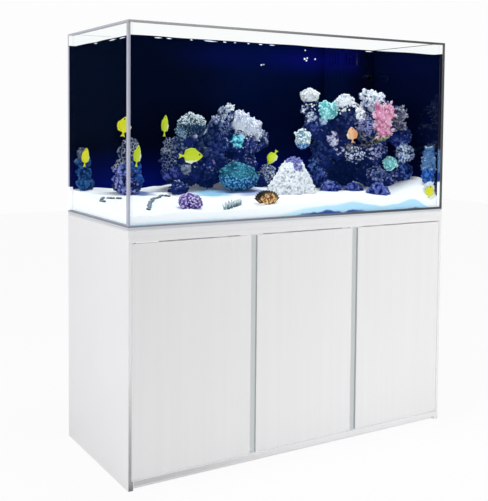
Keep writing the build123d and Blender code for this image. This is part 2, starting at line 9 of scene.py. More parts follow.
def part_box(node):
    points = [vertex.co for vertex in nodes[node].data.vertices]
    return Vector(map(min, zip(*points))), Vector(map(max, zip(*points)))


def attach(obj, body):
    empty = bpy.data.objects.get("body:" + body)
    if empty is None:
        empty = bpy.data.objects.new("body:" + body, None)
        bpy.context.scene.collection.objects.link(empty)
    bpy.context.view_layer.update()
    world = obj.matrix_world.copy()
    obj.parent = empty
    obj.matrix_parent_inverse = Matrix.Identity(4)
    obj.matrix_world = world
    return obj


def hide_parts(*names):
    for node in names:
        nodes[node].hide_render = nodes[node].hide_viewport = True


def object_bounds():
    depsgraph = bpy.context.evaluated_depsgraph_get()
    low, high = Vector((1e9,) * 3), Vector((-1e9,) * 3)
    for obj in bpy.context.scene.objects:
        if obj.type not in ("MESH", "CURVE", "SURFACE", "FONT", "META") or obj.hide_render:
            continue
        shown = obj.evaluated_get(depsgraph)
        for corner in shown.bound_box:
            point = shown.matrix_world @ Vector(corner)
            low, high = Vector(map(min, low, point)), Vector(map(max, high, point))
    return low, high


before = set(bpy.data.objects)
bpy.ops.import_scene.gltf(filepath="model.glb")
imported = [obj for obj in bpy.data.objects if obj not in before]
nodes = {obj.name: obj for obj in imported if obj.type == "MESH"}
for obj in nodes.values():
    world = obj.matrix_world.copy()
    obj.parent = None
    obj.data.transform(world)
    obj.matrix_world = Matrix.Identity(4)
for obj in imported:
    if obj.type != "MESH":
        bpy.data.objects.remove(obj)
cad_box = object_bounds()
scene = bpy.context.scene
CARCASS = "cabinet_and_tank"


# Cabinet boards: chipboard faced with white melamine and edged in the same white, dowelled and glued.
# The faces carry a fine moulded pebble, and the light on them is a little cloudy.
class Wire:
    """One socket of a node tree. Sums of wires add their own Math nodes."""

    def __init__(self, tree, socket=None):
        self.tree = tree
        self.socket = socket

    @staticmethod
    def pick(sockets, key):
        if isinstance(key, int):
            return sockets[key]
        usable = [socket for socket in sockets if socket.enabled]
        if key is None:
            return usable[0]
        return next(socket for socket in usable if socket.name == key)

    def node(self, kind, settings=None, sockets=None, output=None):
        made = self.tree.nodes.new(kind)
        for name, value in (settings or {}).items():
            setattr(made, name, value)
        for key, value in (sockets or {}).items():
            target = self.pick(made.inputs, key)
            for part in value if isinstance(value, list) else [value]:
                if isinstance(part, Wire):
                    self.tree.links.new(part.socket, target)
                else:
                    target.default_value = part
        return Wire(self.tree, self.pick(made.outputs, output))

    def out(self, key):
        return Wire(self.tree, self.pick(self.socket.node.outputs, key))

    def sum(self, operation, first, second):
        return self.node("ShaderNodeMath", {"operation": operation}, {0: first, 1: second})

    def __add__(self, other):
        return self.sum("ADD", self, other)

    __radd__ = __add__

    def __sub__(self, other):
        return self.sum("SUBTRACT", self, other)

    def __rsub__(self, other):
        return self.sum("SUBTRACT", other, self)

    def __mul__(self, other):
        return self.sum("MULTIPLY", self, other)

    __rmul__ = __mul__

    def __pow__(self, other):
        return self.sum("POWER", self, other)

    def __gt__(self, other):
        return self.sum("GREATER_THAN", self, other)

    def __lt__(self, other):
        return self.sum("LESS_THAN", self, other)

    def __abs__(self):
        return self.sum("ABSOLUTE", self, 0.0)


def rise(value, low, high):
    limits = {"Value": value, "From Min": low, "From Max": high}
    return value.node("ShaderNodeMapRange", {"interpolation_type": "SMOOTHSTEP"}, limits)


def fall(value, low, high):
    return 1.0 - rise(value, low, high)


def past(value, limit, blur):
    return rise(value, limit - blur, limit + blur)


def blend(factor, first, second):
    def full(colour):
        return colour if isinstance(colour, Wire) else (*colour, 1.0)

    parts = {"Factor": factor, "A": full(first), "B": full(second)}
    return factor.node("ShaderNodeMix", {"data_type": "RGBA"}, parts)


def noise(place, scale, detail=2.0):
    return place.node("ShaderNodeTexNoise", None, {"Vector": place, "Scale": scale, "Detail": detail})


def cells(place, scale, feature="F1"):
    return place.node("ShaderNodeTexVoronoi", {"feature": feature}, {"Vector": place, "Scale": scale})


def stretched(place, scale):
    return place.node("ShaderNodeMapping", None, {"Vector": place, "Scale": scale})


def bump(height, strength, depth):
    return height.node("ShaderNodeBump", None, {"Height": height, "Strength": strength, "Distance": depth})


def axes(vector):
    first = vector.node("ShaderNodeSeparateXYZ", None, {"Vector": vector}, "X")
    return first, first.out("Y"), first.out("Z")


def facing(place):
    return axes(place.node("ShaderNodeNewGeometry", output="Normal"))


def new_finish(name):
    material = bpy.data.materials.new(name)
    material.use_nodes = True
    place = Wire(material.node_tree).node("ShaderNodeTexCoord", output="Object")
    return material, place


def coat(material, **sockets):
    shader = material.node_tree.nodes["Principled BSDF"]
    for name, value in sockets.items():
        target = shader.inputs[name.replace("_", " ")]
        if isinstance(value, Wire):
            material.node_tree.links.new(value.socket, target)
        else:
            target.default_value = value
    return material


def dress(material, *names):
    for name in names:
        nodes[name].data.materials.clear()
        nodes[name].data.materials.append(material)


UNLIT = (0.0, 0.0, 0.0)
PAINTED_SHADE_GREY = (0.16, 0.16, 0.165)
GAP_DEPTH = -0.230
GAP_END = 0.598
GAP_TOP = 0.719
GAP_LIGHT = 0.15
GAP_BLUR = 0.0005
FREE_EDGES_WITHIN = 0.5


def laminate(name, low, high, streak, painted_shade=None, edge_shade=None):
    # The front edges of a board may be painted grey as shade, by a rule of the place, and its sides painted
    # grey as shade.
    # The narrow faces in the gaps round the doors carry a painted glow for the light that they pass on to
    # each other
    material, place = new_finish(name)
    cloud = noise(place, 3.0, 3.0)
    brushed = noise(stretched(place, (70.0, 70.0, 1.5)), 1.0, 3.0)
    pebble = noise(place, 1100.0)
    tone = blend(cloud * (1.0 - streak) + brushed * streak, low, high)
    x, y, z = axes(place)
    normal = facing(place)
    front = rise(abs(normal[1]), 0.7, 0.9)
    beside = 1.0 - front
    if edge_shade:
        tone = blend(beside * rise(abs(normal[0]), 0.3, 0.6) * (abs(x) < FREE_EDGES_WITHIN), tone, edge_shade)
    if painted_shade:
        tone = blend(front * painted_shade(x, z) * (0.85 + 0.3 * noise(place, 60.0, 3.0)), tone, PAINTED_SHADE_GREY)
    gap = beside * fall(y, GAP_DEPTH - 0.002, GAP_DEPTH) * (1.0 - past(abs(x), GAP_END, GAP_BLUR))
    return coat(
        material,
        Base_Color=tone,
        Emission_Color=blend(gap * (1.0 - past(z, GAP_TOP, GAP_BLUR)), UNLIT, tone),
        Emission_Strength=GAP_LIGHT,
        Roughness=0.34 + 0.16 * cloud,
        Normal=bump(pebble, 0.12, 0.0003),
    )


# Painted shade: the front edge greys towards the floor
def painted_shade_foot(x, z):
    return 0.70 * fall(z, 0.03, 0.42) + 0.26 * fall(z, 0.0, 0.03)


# Painted shade: the front greys towards the left end
def painted_shade_left_end(x, z):
    return 0.40 * fall(x, -0.60, 0.05)


MELAMINE = ((0.80, 0.80, 0.815), (0.87, 0.87, 0.88), 0.2)
dress(
    laminate("white_melamine", *MELAMINE),
    "top_board", "right_side_panel", "front_rail", "rear_rail",
    "front_plinth", "rear_plinth", "left_partition", "right_partition",
)
# Painted shade on the fronts of the left side panel and the bottom board
dress(laminate("melamine_with_painted_shade_foot", *MELAMINE, painted_shade_foot), "left_side_panel")
dress(laminate("melamine_with_painted_shade_end", *MELAMINE, painted_shade_left_end), "bottom_board")

# Back panel: thin hardboard lacquered white on both faces, so the sawn edges of its openings are brown.
# It lies in a recess and is held by countersunk screws along its rim.
back_finish, place = new_finish("lacquered_hardboard")
felted = noise(place, 700.0, 4.0)
lacquer = blend(noise(place, 5.0, 3.0), (0.72, 0.72, 0.73), (0.78, 0.78, 0.78))
sawn = blend(felted, (0.16, 0.09, 0.045), (0.30, 0.19, 0.10))
coat(
    back_finish,
    Base_Color=blend(rise(abs(facing(place)[1]), 0.4, 0.6), sawn, lacquer),
    Roughness=0.42 + 0.2 * felted,
    Normal=bump(felted, 0.15, 0.0004),
)
dress(back_finish, "back_panel")


def new_piece(name, mesh):
    piece = bpy.data.objects.new(name, mesh)
    scene.collection.objects.link(piece)
    return piece


def mesh_from(shape, name, smooth=False):
    mesh = bpy.data.meshes.new(name)
    bmesh.ops.recalc_face_normals(shape, faces=shape.faces)
    shape.to_mesh(mesh)
    shape.free()
    if smooth:
        mesh.shade_smooth()
    else:
        mesh.shade_flat()
    return mesh


def lathe(shape, profile, sides):
    # Rings of radius and height about Z; a radius of zero is a pole
    rings = []
    for radius, height in profile:
        count = sides if radius > 0.0 else 1
        turns = [2.0 * math.pi * step / sides for step in range(count)]
        rings.append([shape.verts.new((radius * math.cos(t), radius * math.sin(t), height)) for t in turns])
    for low, high in zip(rings, rings[1:]):
        for step in range(sides):
            after = (step + 1) % sides
            corners = {low[step % len(low)]: 0, low[after % len(low)]: 0}
            corners.update({high[after % len(high)]: 0, high[step % len(high)]: 0})
            shape.faces.new(list(corners))


def new_tree(name, sockets):
    tree = bpy.data.node_groups.new(name, "GeometryNodeTree")
    for label, kind in sockets.items():
        tree.interface.new_socket(label, in_out="INPUT", socket_type="NodeSocket" + kind)
    tree.interface.new_socket("Geometry", in_out="OUTPUT", socket_type="NodeSocketGeometry")
    start = tree.nodes.new("NodeGroupInput")
    return tree, {socket.name: Wire(tree, socket) for socket in start.outputs if socket.name}


def end_tree(tree, geometry, finish):
    whole = geometry.node("GeometryNodeRealizeInstances", None, {"Geometry": geometry})
    dressed = whole.node("GeometryNodeSetMaterial", None, {"Geometry": whole, "Material": finish})
    tree.links.new(dressed.socket, tree.nodes.new("NodeGroupOutput").inputs[0])


def worked(name, mesh, tree, values, before=()):
    # Runs modifiers and a node tree on a mesh, and keeps the result as a plain mesh
    piece = new_piece(name, mesh)
    for kind, settings in before:
        modifier = piece.modifiers.new(kind.lower(), kind)
        for setting, value in settings.items():
            setattr(modifier, setting, value)
    modifier = piece.modifiers.new("work", "NODES")
    modifier.node_group = tree
    for socket in tree.interface.items_tree:
        if socket.in_out == "INPUT" and socket.name in values:
            modifier[socket.identifier] = values[socket.name]
    graph = bpy.context.evaluated_depsgraph_get()
    made = bpy.data.meshes.new_from_object(
        piece.evaluated_get(graph), preserve_all_data_layers=True, depsgraph=graph
    )
    piece.modifiers.clear()
    piece.data = made
    return piece


set_out, given = new_tree(
    "set_out", {"Geometry": "Geometry", "Head": "Object", "Turn": "Vector", "Finish": "Material"}
)
head = given["Head"].node("GeometryNodeObjectInfo", None, {"Object": given["Head"]}, "Geometry")
heads = head.node(
    "GeometryNodeInstanceOnPoints",
    None,
    {"Points": given["Geometry"], "Instance": head, "Rotation": given["Turn"]},
)
end_tree(set_out, heads, given["Finish"])


def points_mesh(name, points):
    mesh = bpy.data.meshes.new(name)
    mesh.from_pydata(points, [], [])
    return mesh


def pattern_object(name, mesh):
    # A shape that node trees repeat; it stands outside the scene itself
    return bpy.data.objects.new(name, mesh)


SCREW_RADIUS = 0.0036
SCREW_PROFILE = (
    (0.0, -0.0004), (SCREW_RADIUS, -0.0004), (SCREW_RADIUS, 0.0004),
    (0.0026, 0.0011), (0.0012, 0.0012), (0.0, 0.0003),
)
SCREW_SIDES = 12
screw_shape = bmesh.new()
lathe(screw_shape, SCREW_PROFILE, SCREW_SIDES)
screw_head = pattern_object("screw_head", mesh_from(screw_shape, "screw_head"))
zinc, place = new_finish("zinc_plate")
coat(
    zinc,
    Base_Color=blend(noise(place, 900.0, 3.0), (0.48, 0.49, 0.51), (0.70, 0.71, 0.72)),
    Metallic=1.0,
    Roughness=0.28 + 0.2 * noise(place, 300.0),
)
back_low, back_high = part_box("back_panel")
SCREW_INSET = 0.009
SCREWS_ACROSS = 9
SCREWS_UP = 5
rim_left, rim_right = back_low.x + SCREW_INSET, back_high.x - SCREW_INSET
rim_foot, rim_top = back_low.z + SCREW_INSET, back_high.z - SCREW_INSET
screw_points = []
for step in range(SCREWS_ACROSS):
    x = rim_left + step / (SCREWS_ACROSS - 1) * (rim_right - rim_left)
    screw_points += [(x, back_high.y, rim_foot), (x, back_high.y, rim_top)]
for step in range(1, SCREWS_UP):
    z = rim_foot + step / SCREWS_UP * (rim_top - rim_foot)
    screw_points += [(rim_left, back_high.y, z), (rim_right, back_high.y, z)]
back_screws = worked(
    "back_screws",
    points_mesh("back_screw_places", screw_points),
    set_out,
    {"Head": screw_head, "Turn": (-math.pi / 2, 0.0, 0.0), "Finish": zinc},
)
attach(back_screws, CARCASS)

# Doors: three plain leaves of the same board with a smoother satin lacquer, rolled on from top to bottom.
# They hang on pivots at one edge, and the other edge is bevelled behind so that fingers reach it.
# The sides that stand next to a grip channel are painted grey as shade.
EDGE_SHADE_GREY = (0.40, 0.41, 0.42)
dress(
    laminate("satin_lacquer", (0.795, 0.795, 0.80), (0.855, 0.855, 0.86), 0.75, edge_shade=EDGE_SHADE_GREY),
    "left_door", "middle_door", "right_door",
)

# Grip channels: folded sheet aluminium, satin anodised with the grain running up and down.
# Each is screwed to the front edge of a partition, behind the gap between two doors.
# A little glow stands for the light that the white boards pass on into the narrow gap.
CHANNEL_GLOW = 0.36
anodised, place = new_finish("satin_anodised")
grain = noise(stretched(place, (2600.0, 2600.0, 12.0)), 1.0, 3.0)
smudge = noise(place, 18.0, 3.0)
coat(
    anodised,
    Base_Color=blend(grain, (0.50, 0.52, 0.52), (0.60, 0.62, 0.62)),
    Metallic=0.2,
    Roughness=0.34 + 0.12 * grain + 0.08 * smudge,
    Normal=bump(grain, 0.12, 0.0002),
    Emission_Color=(0.88, 0.92, 0.93, 1.0),
    Emission_Strength=CHANNEL_GLOW,
)
dress(anodised, "left_grip_channel", "right_grip_channel")

# Door hardware: zinc-plated pins in white nylon bushes, and moulded catches that hold a magnet each.
# The steel strike plates are glued to the doors.
nylon, place = new_finish("white_nylon")
coat(
    nylon,
    Base_Color=blend(noise(place, 60.0, 3.0), (0.78, 0.78, 0.76), (0.86, 0.86, 0.85)),
    Roughness=0.40 + 0.15 * noise(place, 500.0),
    Normal=bump(noise(place, 1500.0), 0.15, 0.0002),
)
dress(zinc, "pivot_pins", "catch_magnets", "left_strike_plate", "middle_strike_plate", "right_strike_plate")
dress(nylon, "left_door_bushes", "middle_door_bushes", "right_door_bushes", "catch_bodies")

# Filter in the right bay: a bonded box of smoked acrylic, grey pipes and a small ribbed pump.
# The pipes rise through cut-outs in the boards to the overflow, and are black where they stand in the tank.
smoked, place = new_finish("smoked_acrylic")
haze = noise(place, 9.0, 4.0)
scratches = rise(noise(stretched(place, (40.0, 40.0, 700.0)), 1.0, 4.0), 0.55, 0.8)
coat(
    smoked,
    Base_Color=blend(haze, (0.16, 0.20, 0.23), (0.26, 0.31, 0.34)),
    Roughness=0.08 + 0.25 * scratches,
    Alpha=0.55 + 0.15 * scratches,
)
dress(smoked, "sump_box")
grey_pipe, place = new_finish("extruded_grey_pipe")
drawn = noise(stretched(place, (500.0, 500.0, 6.0)), 1.0, 3.0)
BLACK_PIPE = (0.0012, 0.0016, 0.012)
in_tank = axes(place)[2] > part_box("base_glass")[1].z
bare_pipe = blend(drawn, (0.22, 0.23, 0.25), (0.34, 0.35, 0.37))
coat(
    grey_pipe,
    Base_Color=blend(in_tank, bare_pipe, BLACK_PIPE),
    Roughness=0.32 + 0.2 * drawn,
    Normal=bump(drawn, 0.1, 0.0002),
)
dress(grey_pipe, "drain_pipe", "return_pipe", "bulkhead_fittings")
casing, place = new_finish("moulded_pump_casing")
spark = noise(place, 1400.0)
coat(
    casing,
    Base_Color=blend(noise(place, 25.0, 3.0), (0.012, 0.012, 0.014), (0.028, 0.028, 0.032)),
    Roughness=0.45 + 0.2 * spark,
    Normal=bump(spark, 0.35, 0.0003),
)
dress(casing, "return_pump")

# Levelling mat: closed-cell foam, white, that the tank's weight presses to a few millimetres.
# Only its cut edge shows, as a thin pale line between the tank and the cabinet.
foam, place = new_finish("closed_cell_foam")
pore = cells(place, 900.0)
coat(
    foam,
    Base_Color=blend(pore, (0.78, 0.78, 0.79), (0.90, 0.90, 0.91)),
    Roughness=0.75 + 0.2 * pore,
    Normal=bump(pore, 0.4, 0.0004),
)
dress(foam, "levelling_mat")

# Tank glass: five panes of clear float glass, 12 mm thick, with ground edges, butted and bonded.
# Looked at flat it is clear; along its edges and joints it is painted grey-lavender for the light they
# reflect, and painted darker on the far side as shade.
FILM_ABOVE_WATER = 0.003
WATER_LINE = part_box("background_film")[1].z - FILM_ABOVE_WATER
GLASS_INDEX = 1.5
GLASS_MIRROR = 0.4
BASE_LINE = 0.0042
RIM_BAND = 0.0062
EDGE_FADE = 0.10
CORNER_LIGHT = 0.35
MIRRORED_SAND = 0.853
MIRRORED_WAIST = 0.886
MIRRORED_ROCK = 0.964
REAR_SAND = 0.839
BEHIND_LEFT_PANE = 0.0131
LAVENDER = (0.50, 0.50, 0.62)
RIM_GREY = (0.44, 0.45, 0.46)
SMOKE = (0.050, 0.050, 0.055)
DEEP_NAVY = (0.0010, 0.0014, 0.008)
SAND_WHITE = (0.93, 0.94, 0.95)


def larger(first, second):
    return first.sum("MAXIMUM", first, second)


def seen_from_inside(place):
    return place.node("ShaderNodeNewGeometry", output="Backfacing")


def not_shadow(place):
    return 1.0 - place.node("ShaderNodeLightPath", output="Is Shadow Ray")


def mix_shader(share, first, second):
    return share.node("ShaderNodeMixShader", None, {0: share, 1: first, 2: second})


def principled(material):
    return Wire(material.node_tree, material.node_tree.nodes["Principled BSDF"].outputs[0])


def finish_with(material, shader):
    output = material.node_tree.nodes["Material Output"]
    material.node_tree.links.new(shader.socket, output.inputs["Surface"])
    return material


def clear_sheet(place):
    # Flat glass, with a faint mirror at low angles on its outer face
    fresnel = place.node("ShaderNodeFresnel", None, {"IOR": GLASS_INDEX})
    gloss = GLASS_MIRROR * fresnel ** 3.0 * (1.0 - seen_from_inside(place)) * not_shadow(place)
    clear = place.node("ShaderNodeBsdfTransparent", None, {"Color": (0.985, 0.995, 0.995, 1.0)})
    mirror = place.node("ShaderNodeBsdfGlossy", None, {"Color": (0.9, 0.94, 1.0, 1.0), "Roughness": 0.02})
    return mix_shader(gloss, clear, mirror)


def pane_finish(
    node, across, low_colour, high_colour, rim_band=0.0, clear_rear=False, under=None, corner=None,
):
    # The ground edges are painted with reflected light, shading from one colour to another along X. The top
    # may show a band below the rim, the rear edge may be bonded clear, and the base has a second painted
    # colour under its top edge.
    # A corner is a rule that gives the share and the colour of a pane's end, a painted reflection
    # of what lies beside it, which glows a little
    material, place = new_finish(node + "_finish")
    low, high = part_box(node)
    x, y, z = axes(place)
    normal = facing(place)
    border = abs(normal[across]) < 0.8
    above_water = past(z, WATER_LINE, 0.004)
    if clear_rear:
        border = border * fall(y, high.y - 0.002, high.y - 0.001)
    if corner:
        border = border * (1.0 - above_water * rise(abs(normal[1]), 0.4, 0.6))
    if rim_band:
        border = larger(border, rise(z, high.z - rim_band - 0.0006, high.z - rim_band))
    frost = noise(place, 260.0, 3.0)
    along = rise(x, low.x + EDGE_FADE, high.x - EDGE_FADE)
    tone = blend(along, blend(above_water, low_colour, RIM_GREY), high_colour)
    if under:
        line = BASE_LINE * (1.0 + 0.3 * along)
        tone = blend(rise(high.z - z - line, -0.0005, 0.0005), tone, under)
    tone = blend(0.2 * frost, tone, SMOKE)
    if corner:
        share, mirrored = corner(place, low)
        border = larger(border, share)
        tone = blend(share, tone, mirrored)
        coat(material, Emission_Color=blend(share, UNLIT, mirrored), Emission_Strength=CORNER_LIGHT)
    coat(material, Base_Color=tone, Roughness=0.22 + 0.2 * frost)
    shade = border * (0.90 + 0.10 * frost) * (0.25 + 0.75 * not_shadow(place))
    return finish_with(material, mix_shader(shade, clear_sheet(place), principled(material)))


def right_corner(place, low):
    # A painted reflection on the front end of the right pane: sand below, then the blue and the pale part
    # of the end rock, then the film
    _, y, z = axes(place)
    ragged = z + 0.012 * (noise(place, 60.0, 3.0) - 0.5)
    fleck = rise(noise(place, 240.0, 3.0), 0.42, 0.62)
    pale_part = blend(fleck, (0.04, 0.09, 0.20), (0.13, 0.24, 0.42))
    shown = blend(past(ragged, MIRRORED_WAIST, 0.004), (0.010, 0.040, 0.200), pale_part)
    shown = blend(past(ragged, MIRRORED_SAND, 0.003), SAND_WHITE, shown)
    shown = blend(past(ragged, MIRRORED_ROCK, 0.004), shown, DEEP_NAVY)
    return fall(y, low.y + 0.001, low.y + 0.002) * fall(z, WATER_LINE - 0.001, WATER_LINE), shown


def rear_left_corner(place, low):
    # The part of the rear pane behind the left pane, painted with the white of the sand below the sand line
    x, _, z = axes(place)
    behind = 1.0 - past(x, low.x + BEHIND_LEFT_PANE, 0.0003)
    return behind * (1.0 - past(z, REAR_SAND, 0.001)), SAND_WHITE


dress(pane_finish("front_glass", 1, LAVENDER, SMOKE, RIM_BAND), "front_glass")
dress(pane_finish("left_glass", 0, LAVENDER, LAVENDER, RIM_BAND, clear_rear=True), "left_glass")
dress(pane_finish("right_glass", 0, DEEP_NAVY, DEEP_NAVY, corner=right_corner), "right_glass")
dress(pane_finish("rear_glass", 1, LAVENDER, SMOKE, corner=rear_left_corner), "rear_glass")
base_finish = pane_finish("base_glass", 2, (0.24, 0.25, 0.31), (0.05, 0.06, 0.08), under=(0.66, 0.69, 0.74))
dress(base_finish, "base_glass")

# Silicone: clear beads tooled into every inner corner of the tank, which bond the panes.
# They are almost invisible in the water and slightly milky above it.
silicone, place = new_finish("clear_silicone")
ripple = noise(stretched(place, (300.0, 300.0, 60.0)), 1.0, 2.0)
above_water = past(axes(place)[2], WATER_LINE, 0.002)
milky = blend(ripple, (0.50, 0.52, 0.60), (0.66, 0.68, 0.76))
coat(
    silicone,
    Base_Color=blend(above_water, (0.004, 0.006, 0.020), milky),
    Roughness=0.22 + 0.1 * ripple,
    Specular_IOR_Level=0.0,
    Alpha=0.03 + 0.04 * ripple,
    Normal=bump(ripple, 0.3, 0.0006),
)
dress(silicone, "floor_seam", "corner_seams")

# Background film: satin vinyl outside the rear and right panes, printed from black to a deep sea blue.
# The blue is strongest low down, and from the middle to the right; the sheet at the end is nearly black.
film_low, film_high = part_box("background_film")
NIGHT = (0.0010, 0.0032, 0.0135)
MIDNIGHT_BLUE = (0.0008, 0.0052, 0.034)
LOW_BLUE = (0.0022, 0.0080, 0.19)
END_BLUE = (0.0012, 0.0035, 0.022)
SURFACE_LIGHT_BLUE = (0.0030, 0.0040, 0.130)


def sea_blue(place):
    x, _, z = axes(place)
    depth = fall(z, film_low.z + 0.04, film_low.z + 0.22)
    side = rise(x, film_low.x + 0.40, film_high.x - 0.45)
    drift = noise(place, 4.0, 3.0)
    sea = blend(side * (0.5 + 0.7 * drift), NIGHT, MIDNIGHT_BLUE)
    sea = blend(depth * (0.55 + 0.5 * drift), sea, LOW_BLUE)
    end = rise(x, film_high.x - 0.16, film_high.x - 0.10)
    sea = blend(end * (1.0 - 0.75 * depth), sea, END_BLUE)
    # Painted light: a lighter blue just under the water line, most of it right of the middle
    surface = rise(z, film_high.z - 0.08, film_high.z) * fall(x, film_high.x - 0.12, film_high.x - 0.04)
    return blend(surface * (0.22 * rise(x, -0.30, 0.0) + 0.63 * rise(x, 0.10, 0.40)), sea, SURFACE_LIGHT_BLUE)


film, place = new_finish("sea_blue_film")
coat(film, Base_Color=sea_blue(place), Roughness=0.55 + 0.1 * noise(place, 600.0), Specular_IOR_Level=0.0)
dress(film, "background_film")

# Overflow: a corner box of dark acrylic with a comb of slots along its top edge.
# It is bonded to the rear and right panes, hides the pipes and matches the film behind it.
acrylic, place = new_finish("dark_acrylic")
wipe = noise(place, 30.0, 4.0)
coat(acrylic, Base_Color=sea_blue(place), Roughness=0.45 + 0.15 * wipe, Specular_IOR_Level=0.0)
dress(acrylic, "weir_box", "weir_comb")

# Sand: a bed of white coral sand, a few centimetres deep, raked into low mounds by the current.
# Against the panes its lower layers are painted pale blue, and deep blue in places, as painted shade.
sand_low, sand_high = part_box("sand_bed")
weir_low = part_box("weir_box")[0]
WEIR_WALL = 0.006
SAND_IN_WEIR = 0.004
SAND_MIDDLE = 0.816
SAND_RISE_X = 0.018
SAND_RISE_Y = 0.10
SAND_COVER = 0.003
SAND_MOUNDS = {
    "front_left": ((-0.45, -0.20), (0.10, 0.10), 0.006),
    "middle": ((0.02, -0.16), (0.12, 0.12), 0.010),
    "right": ((0.40, -0.22), (0.16, 0.16), 0.008),
    "rear_left_dip": ((-0.37, 0.245), (0.10, 0.10), -0.012),
    "end_hollow": ((0.556, -0.246), (0.030, 0.024), -0.026),
}
END_DRIFT = ((0.62, -0.15), (0.14, 0.13), 0.050)
DRIFT_FRONT = -0.234
DRIFT_FULL = -0.205
RAKED_WAVE = 0.0016
FINE_WAVE = 0.0010


def heap(x, y, centre, reach, lift):
    return lift * math.exp(-((x - centre[0]) / reach[0]) ** 2 - ((y - centre[1]) / reach[1]) ** 2)


def sand_top(x, y):
    if x > weir_low.x + WEIR_WALL and y > weir_low.y + WEIR_WALL:
        return sand_low.z + SAND_IN_WEIR
    height = SAND_MIDDLE + SAND_RISE_X * x + SAND_RISE_Y * y + SAND_COVER
    height += sum(heap(x, y, *mound) for mound in SAND_MOUNDS.values())
    trough = min(1.0, max(0.0, (y - DRIFT_FRONT) / (DRIFT_FULL - DRIFT_FRONT)))
    height += heap(x, y, *END_DRIFT) * trough ** 2 * (3.0 - 2.0 * trough)
    height += RAKED_WAVE * math.sin(38.0 * x + 9.0 * math.sin(11.0 * y) + 14.0 * y)
    return height + FINE_WAVE * math.sin(71.0 * y + 5.0 * math.sin(23.0 * x))


CRISP_ANGLE = math.radians(55.0)


def filled_box(name, low, high, top, counts):
    # A closed block whose top follows a height, on a grid
    across, along = counts
    shape = bmesh.new()
    rows = []
    for j in range(along + 1):
        y = low.y + (high.y - low.y) * j / along
        steps = [low.x + (high.x - low.x) * i / across for i in range(across + 1)]
        rows.append([shape.verts.new((x, y, top(x, y))) for x in steps])
    for near, far in zip(rows, rows[1:]):
        for i in range(across):
            shape.faces.new((near[i], near[i + 1], far[i + 1], far[i]))
    rim = rows[0][:-1] + [row[-1] for row in rows[:-1]] + rows[-1][:0:-1] + [row[0] for row in rows[:0:-1]]
    foot = [shape.verts.new((vertex.co.x, vertex.co.y, low.z)) for vertex in rim]
    for step in range(len(rim)):
        after = (step + 1) % len(rim)
        shape.faces.new((rim[after], rim[step], foot[step], foot[after]))
    shape.faces.new(list(reversed(foot)))
    shape.normal_update()
    for edge in shape.edges:
        edge.smooth = edge.calc_face_angle() < CRISP_ANGLE
    mesh = mesh_from(shape, name)
    for face in mesh.polygons:
        face.use_smooth = face.normal.z > 0.5
    return mesh


SAND_GRID = (196, 80)
SAND_CLEARANCE = Vector((0.001, 0.001, -0.001))
sand_mesh = filled_box("sand", sand_low + SAND_CLEARANCE, sand_high - SAND_CLEARANCE, sand_top, SAND_GRID)
sand_piece = new_piece("sand", sand_mesh)
coral_sand, place = new_finish("coral_sand")
x, _, z = axes(place)
normal = facing(place)
grit = noise(place, 520.0, 4.0)
shells = cells(place, 260.0)
drift = noise(place, 9.0, 3.0)
pressed = fall(normal[2], 0.10, 0.20)
front_face = pressed * rise(abs(normal[1]), 0.4, 0.6)
# Painted shade on the faces against the panes: pale blue below a wavy line, deep blue lower at two swells
SHADED_BAND_LEVEL = 0.7575
DEEP_SHADE_LEVEL = 0.738
wave = noise(stretched(place, (7.0, 1.0, 0.0)), 1.0, 4.0)
left_swell = rise(x, -0.10, 0.06) * fall(x, 0.20, 0.34)
right_swell = rise(x, 0.40, 0.47) * fall(x, 0.48, 0.56)
shaded_band_top = SHADED_BAND_LEVEL + 0.022 * wave + 0.014 * rise(x, -0.15, 0.25) - 0.022 * rise(x, 0.46, 0.57)
shaded_band_top = shaded_band_top + 0.012 * left_swell + 0.014 * right_swell
shaded_band = rise(shaded_band_top - z, -0.003, 0.007) * front_face
deep_wave = noise(stretched(place, (14.0, 1.0, 0.0)), 1.0, 3.0)
deep_top = DEEP_SHADE_LEVEL + 0.030 * deep_wave + 0.016 * left_swell + 0.014 * right_swell
deep_shade = rise(deep_top - z, -0.002, 0.004) * larger(left_swell, right_swell)
sand_colour = blend(rise(grit, 0.3, 0.7), (0.90, 0.91, 0.92), (0.98, 0.98, 0.98))
speck = rise(noise(place, 190.0, 3.0), 0.68, 0.76)
sand_colour = blend(0.22 * speck, sand_colour, (0.45, 0.50, 0.58))


def distance(place, centre):
    return place.node("ShaderNodeVectorMath", {"operation": "DISTANCE"}, {0: place, 1: centre}, "Value")


# Painted shadows on the sand at the feet of the reef and the corner pillar: centre, reach and colour
SAND_SHADES = {
    "beside_dome": ((-0.165, 0.030, 0.822), 0.105, (0.14, 0.42, 0.64)),
    "under_dome": ((-0.060, 0.020, 0.821), 0.115, (0.030, 0.100, 0.360)),
    "under_reef": ((0.350, 0.000, 0.824), 0.130, (0.020, 0.050, 0.200)),
    "beside_corner_pillar": ((-0.410, 0.100, 0.815), 0.070, (0.020, 0.080, 0.350)),
}
for centre, reach, shade_colour in SAND_SHADES.values():
    near = fall(distance(place, centre) + 0.10 * (drift - 0.5), 0.3 * reach, reach)
    sand_colour = blend(0.85 * near, sand_colour, shade_colour)
pale_shade = blend(rise(x, -0.15, 0.25), (0.66, 0.87, 0.94), (0.46, 0.72, 0.90))
shaded_sand = blend(deep_shade, pale_shade, (0.035, 0.09, 0.36))
bed = blend(shaded_band, sand_colour, shaded_sand)
# Painted glow: the sand gives off a little of its own colour, most on its faces against the panes
SAND_GLOW = 0.24
coat(
    coral_sand,
    Base_Color=bed,
    Roughness=0.85 + 0.1 * grit,
    Emission_Color=blend(0.45 + 0.55 * pressed, UNLIT, bed),
    Emission_Strength=SAND_GLOW,
    Normal=bump(grit + 0.6 * shells, 0.5, 0.0012),
)
sand_piece.data.materials.append(coral_sand)
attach(sand_piece, CARCASS)
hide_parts("sand_bed")

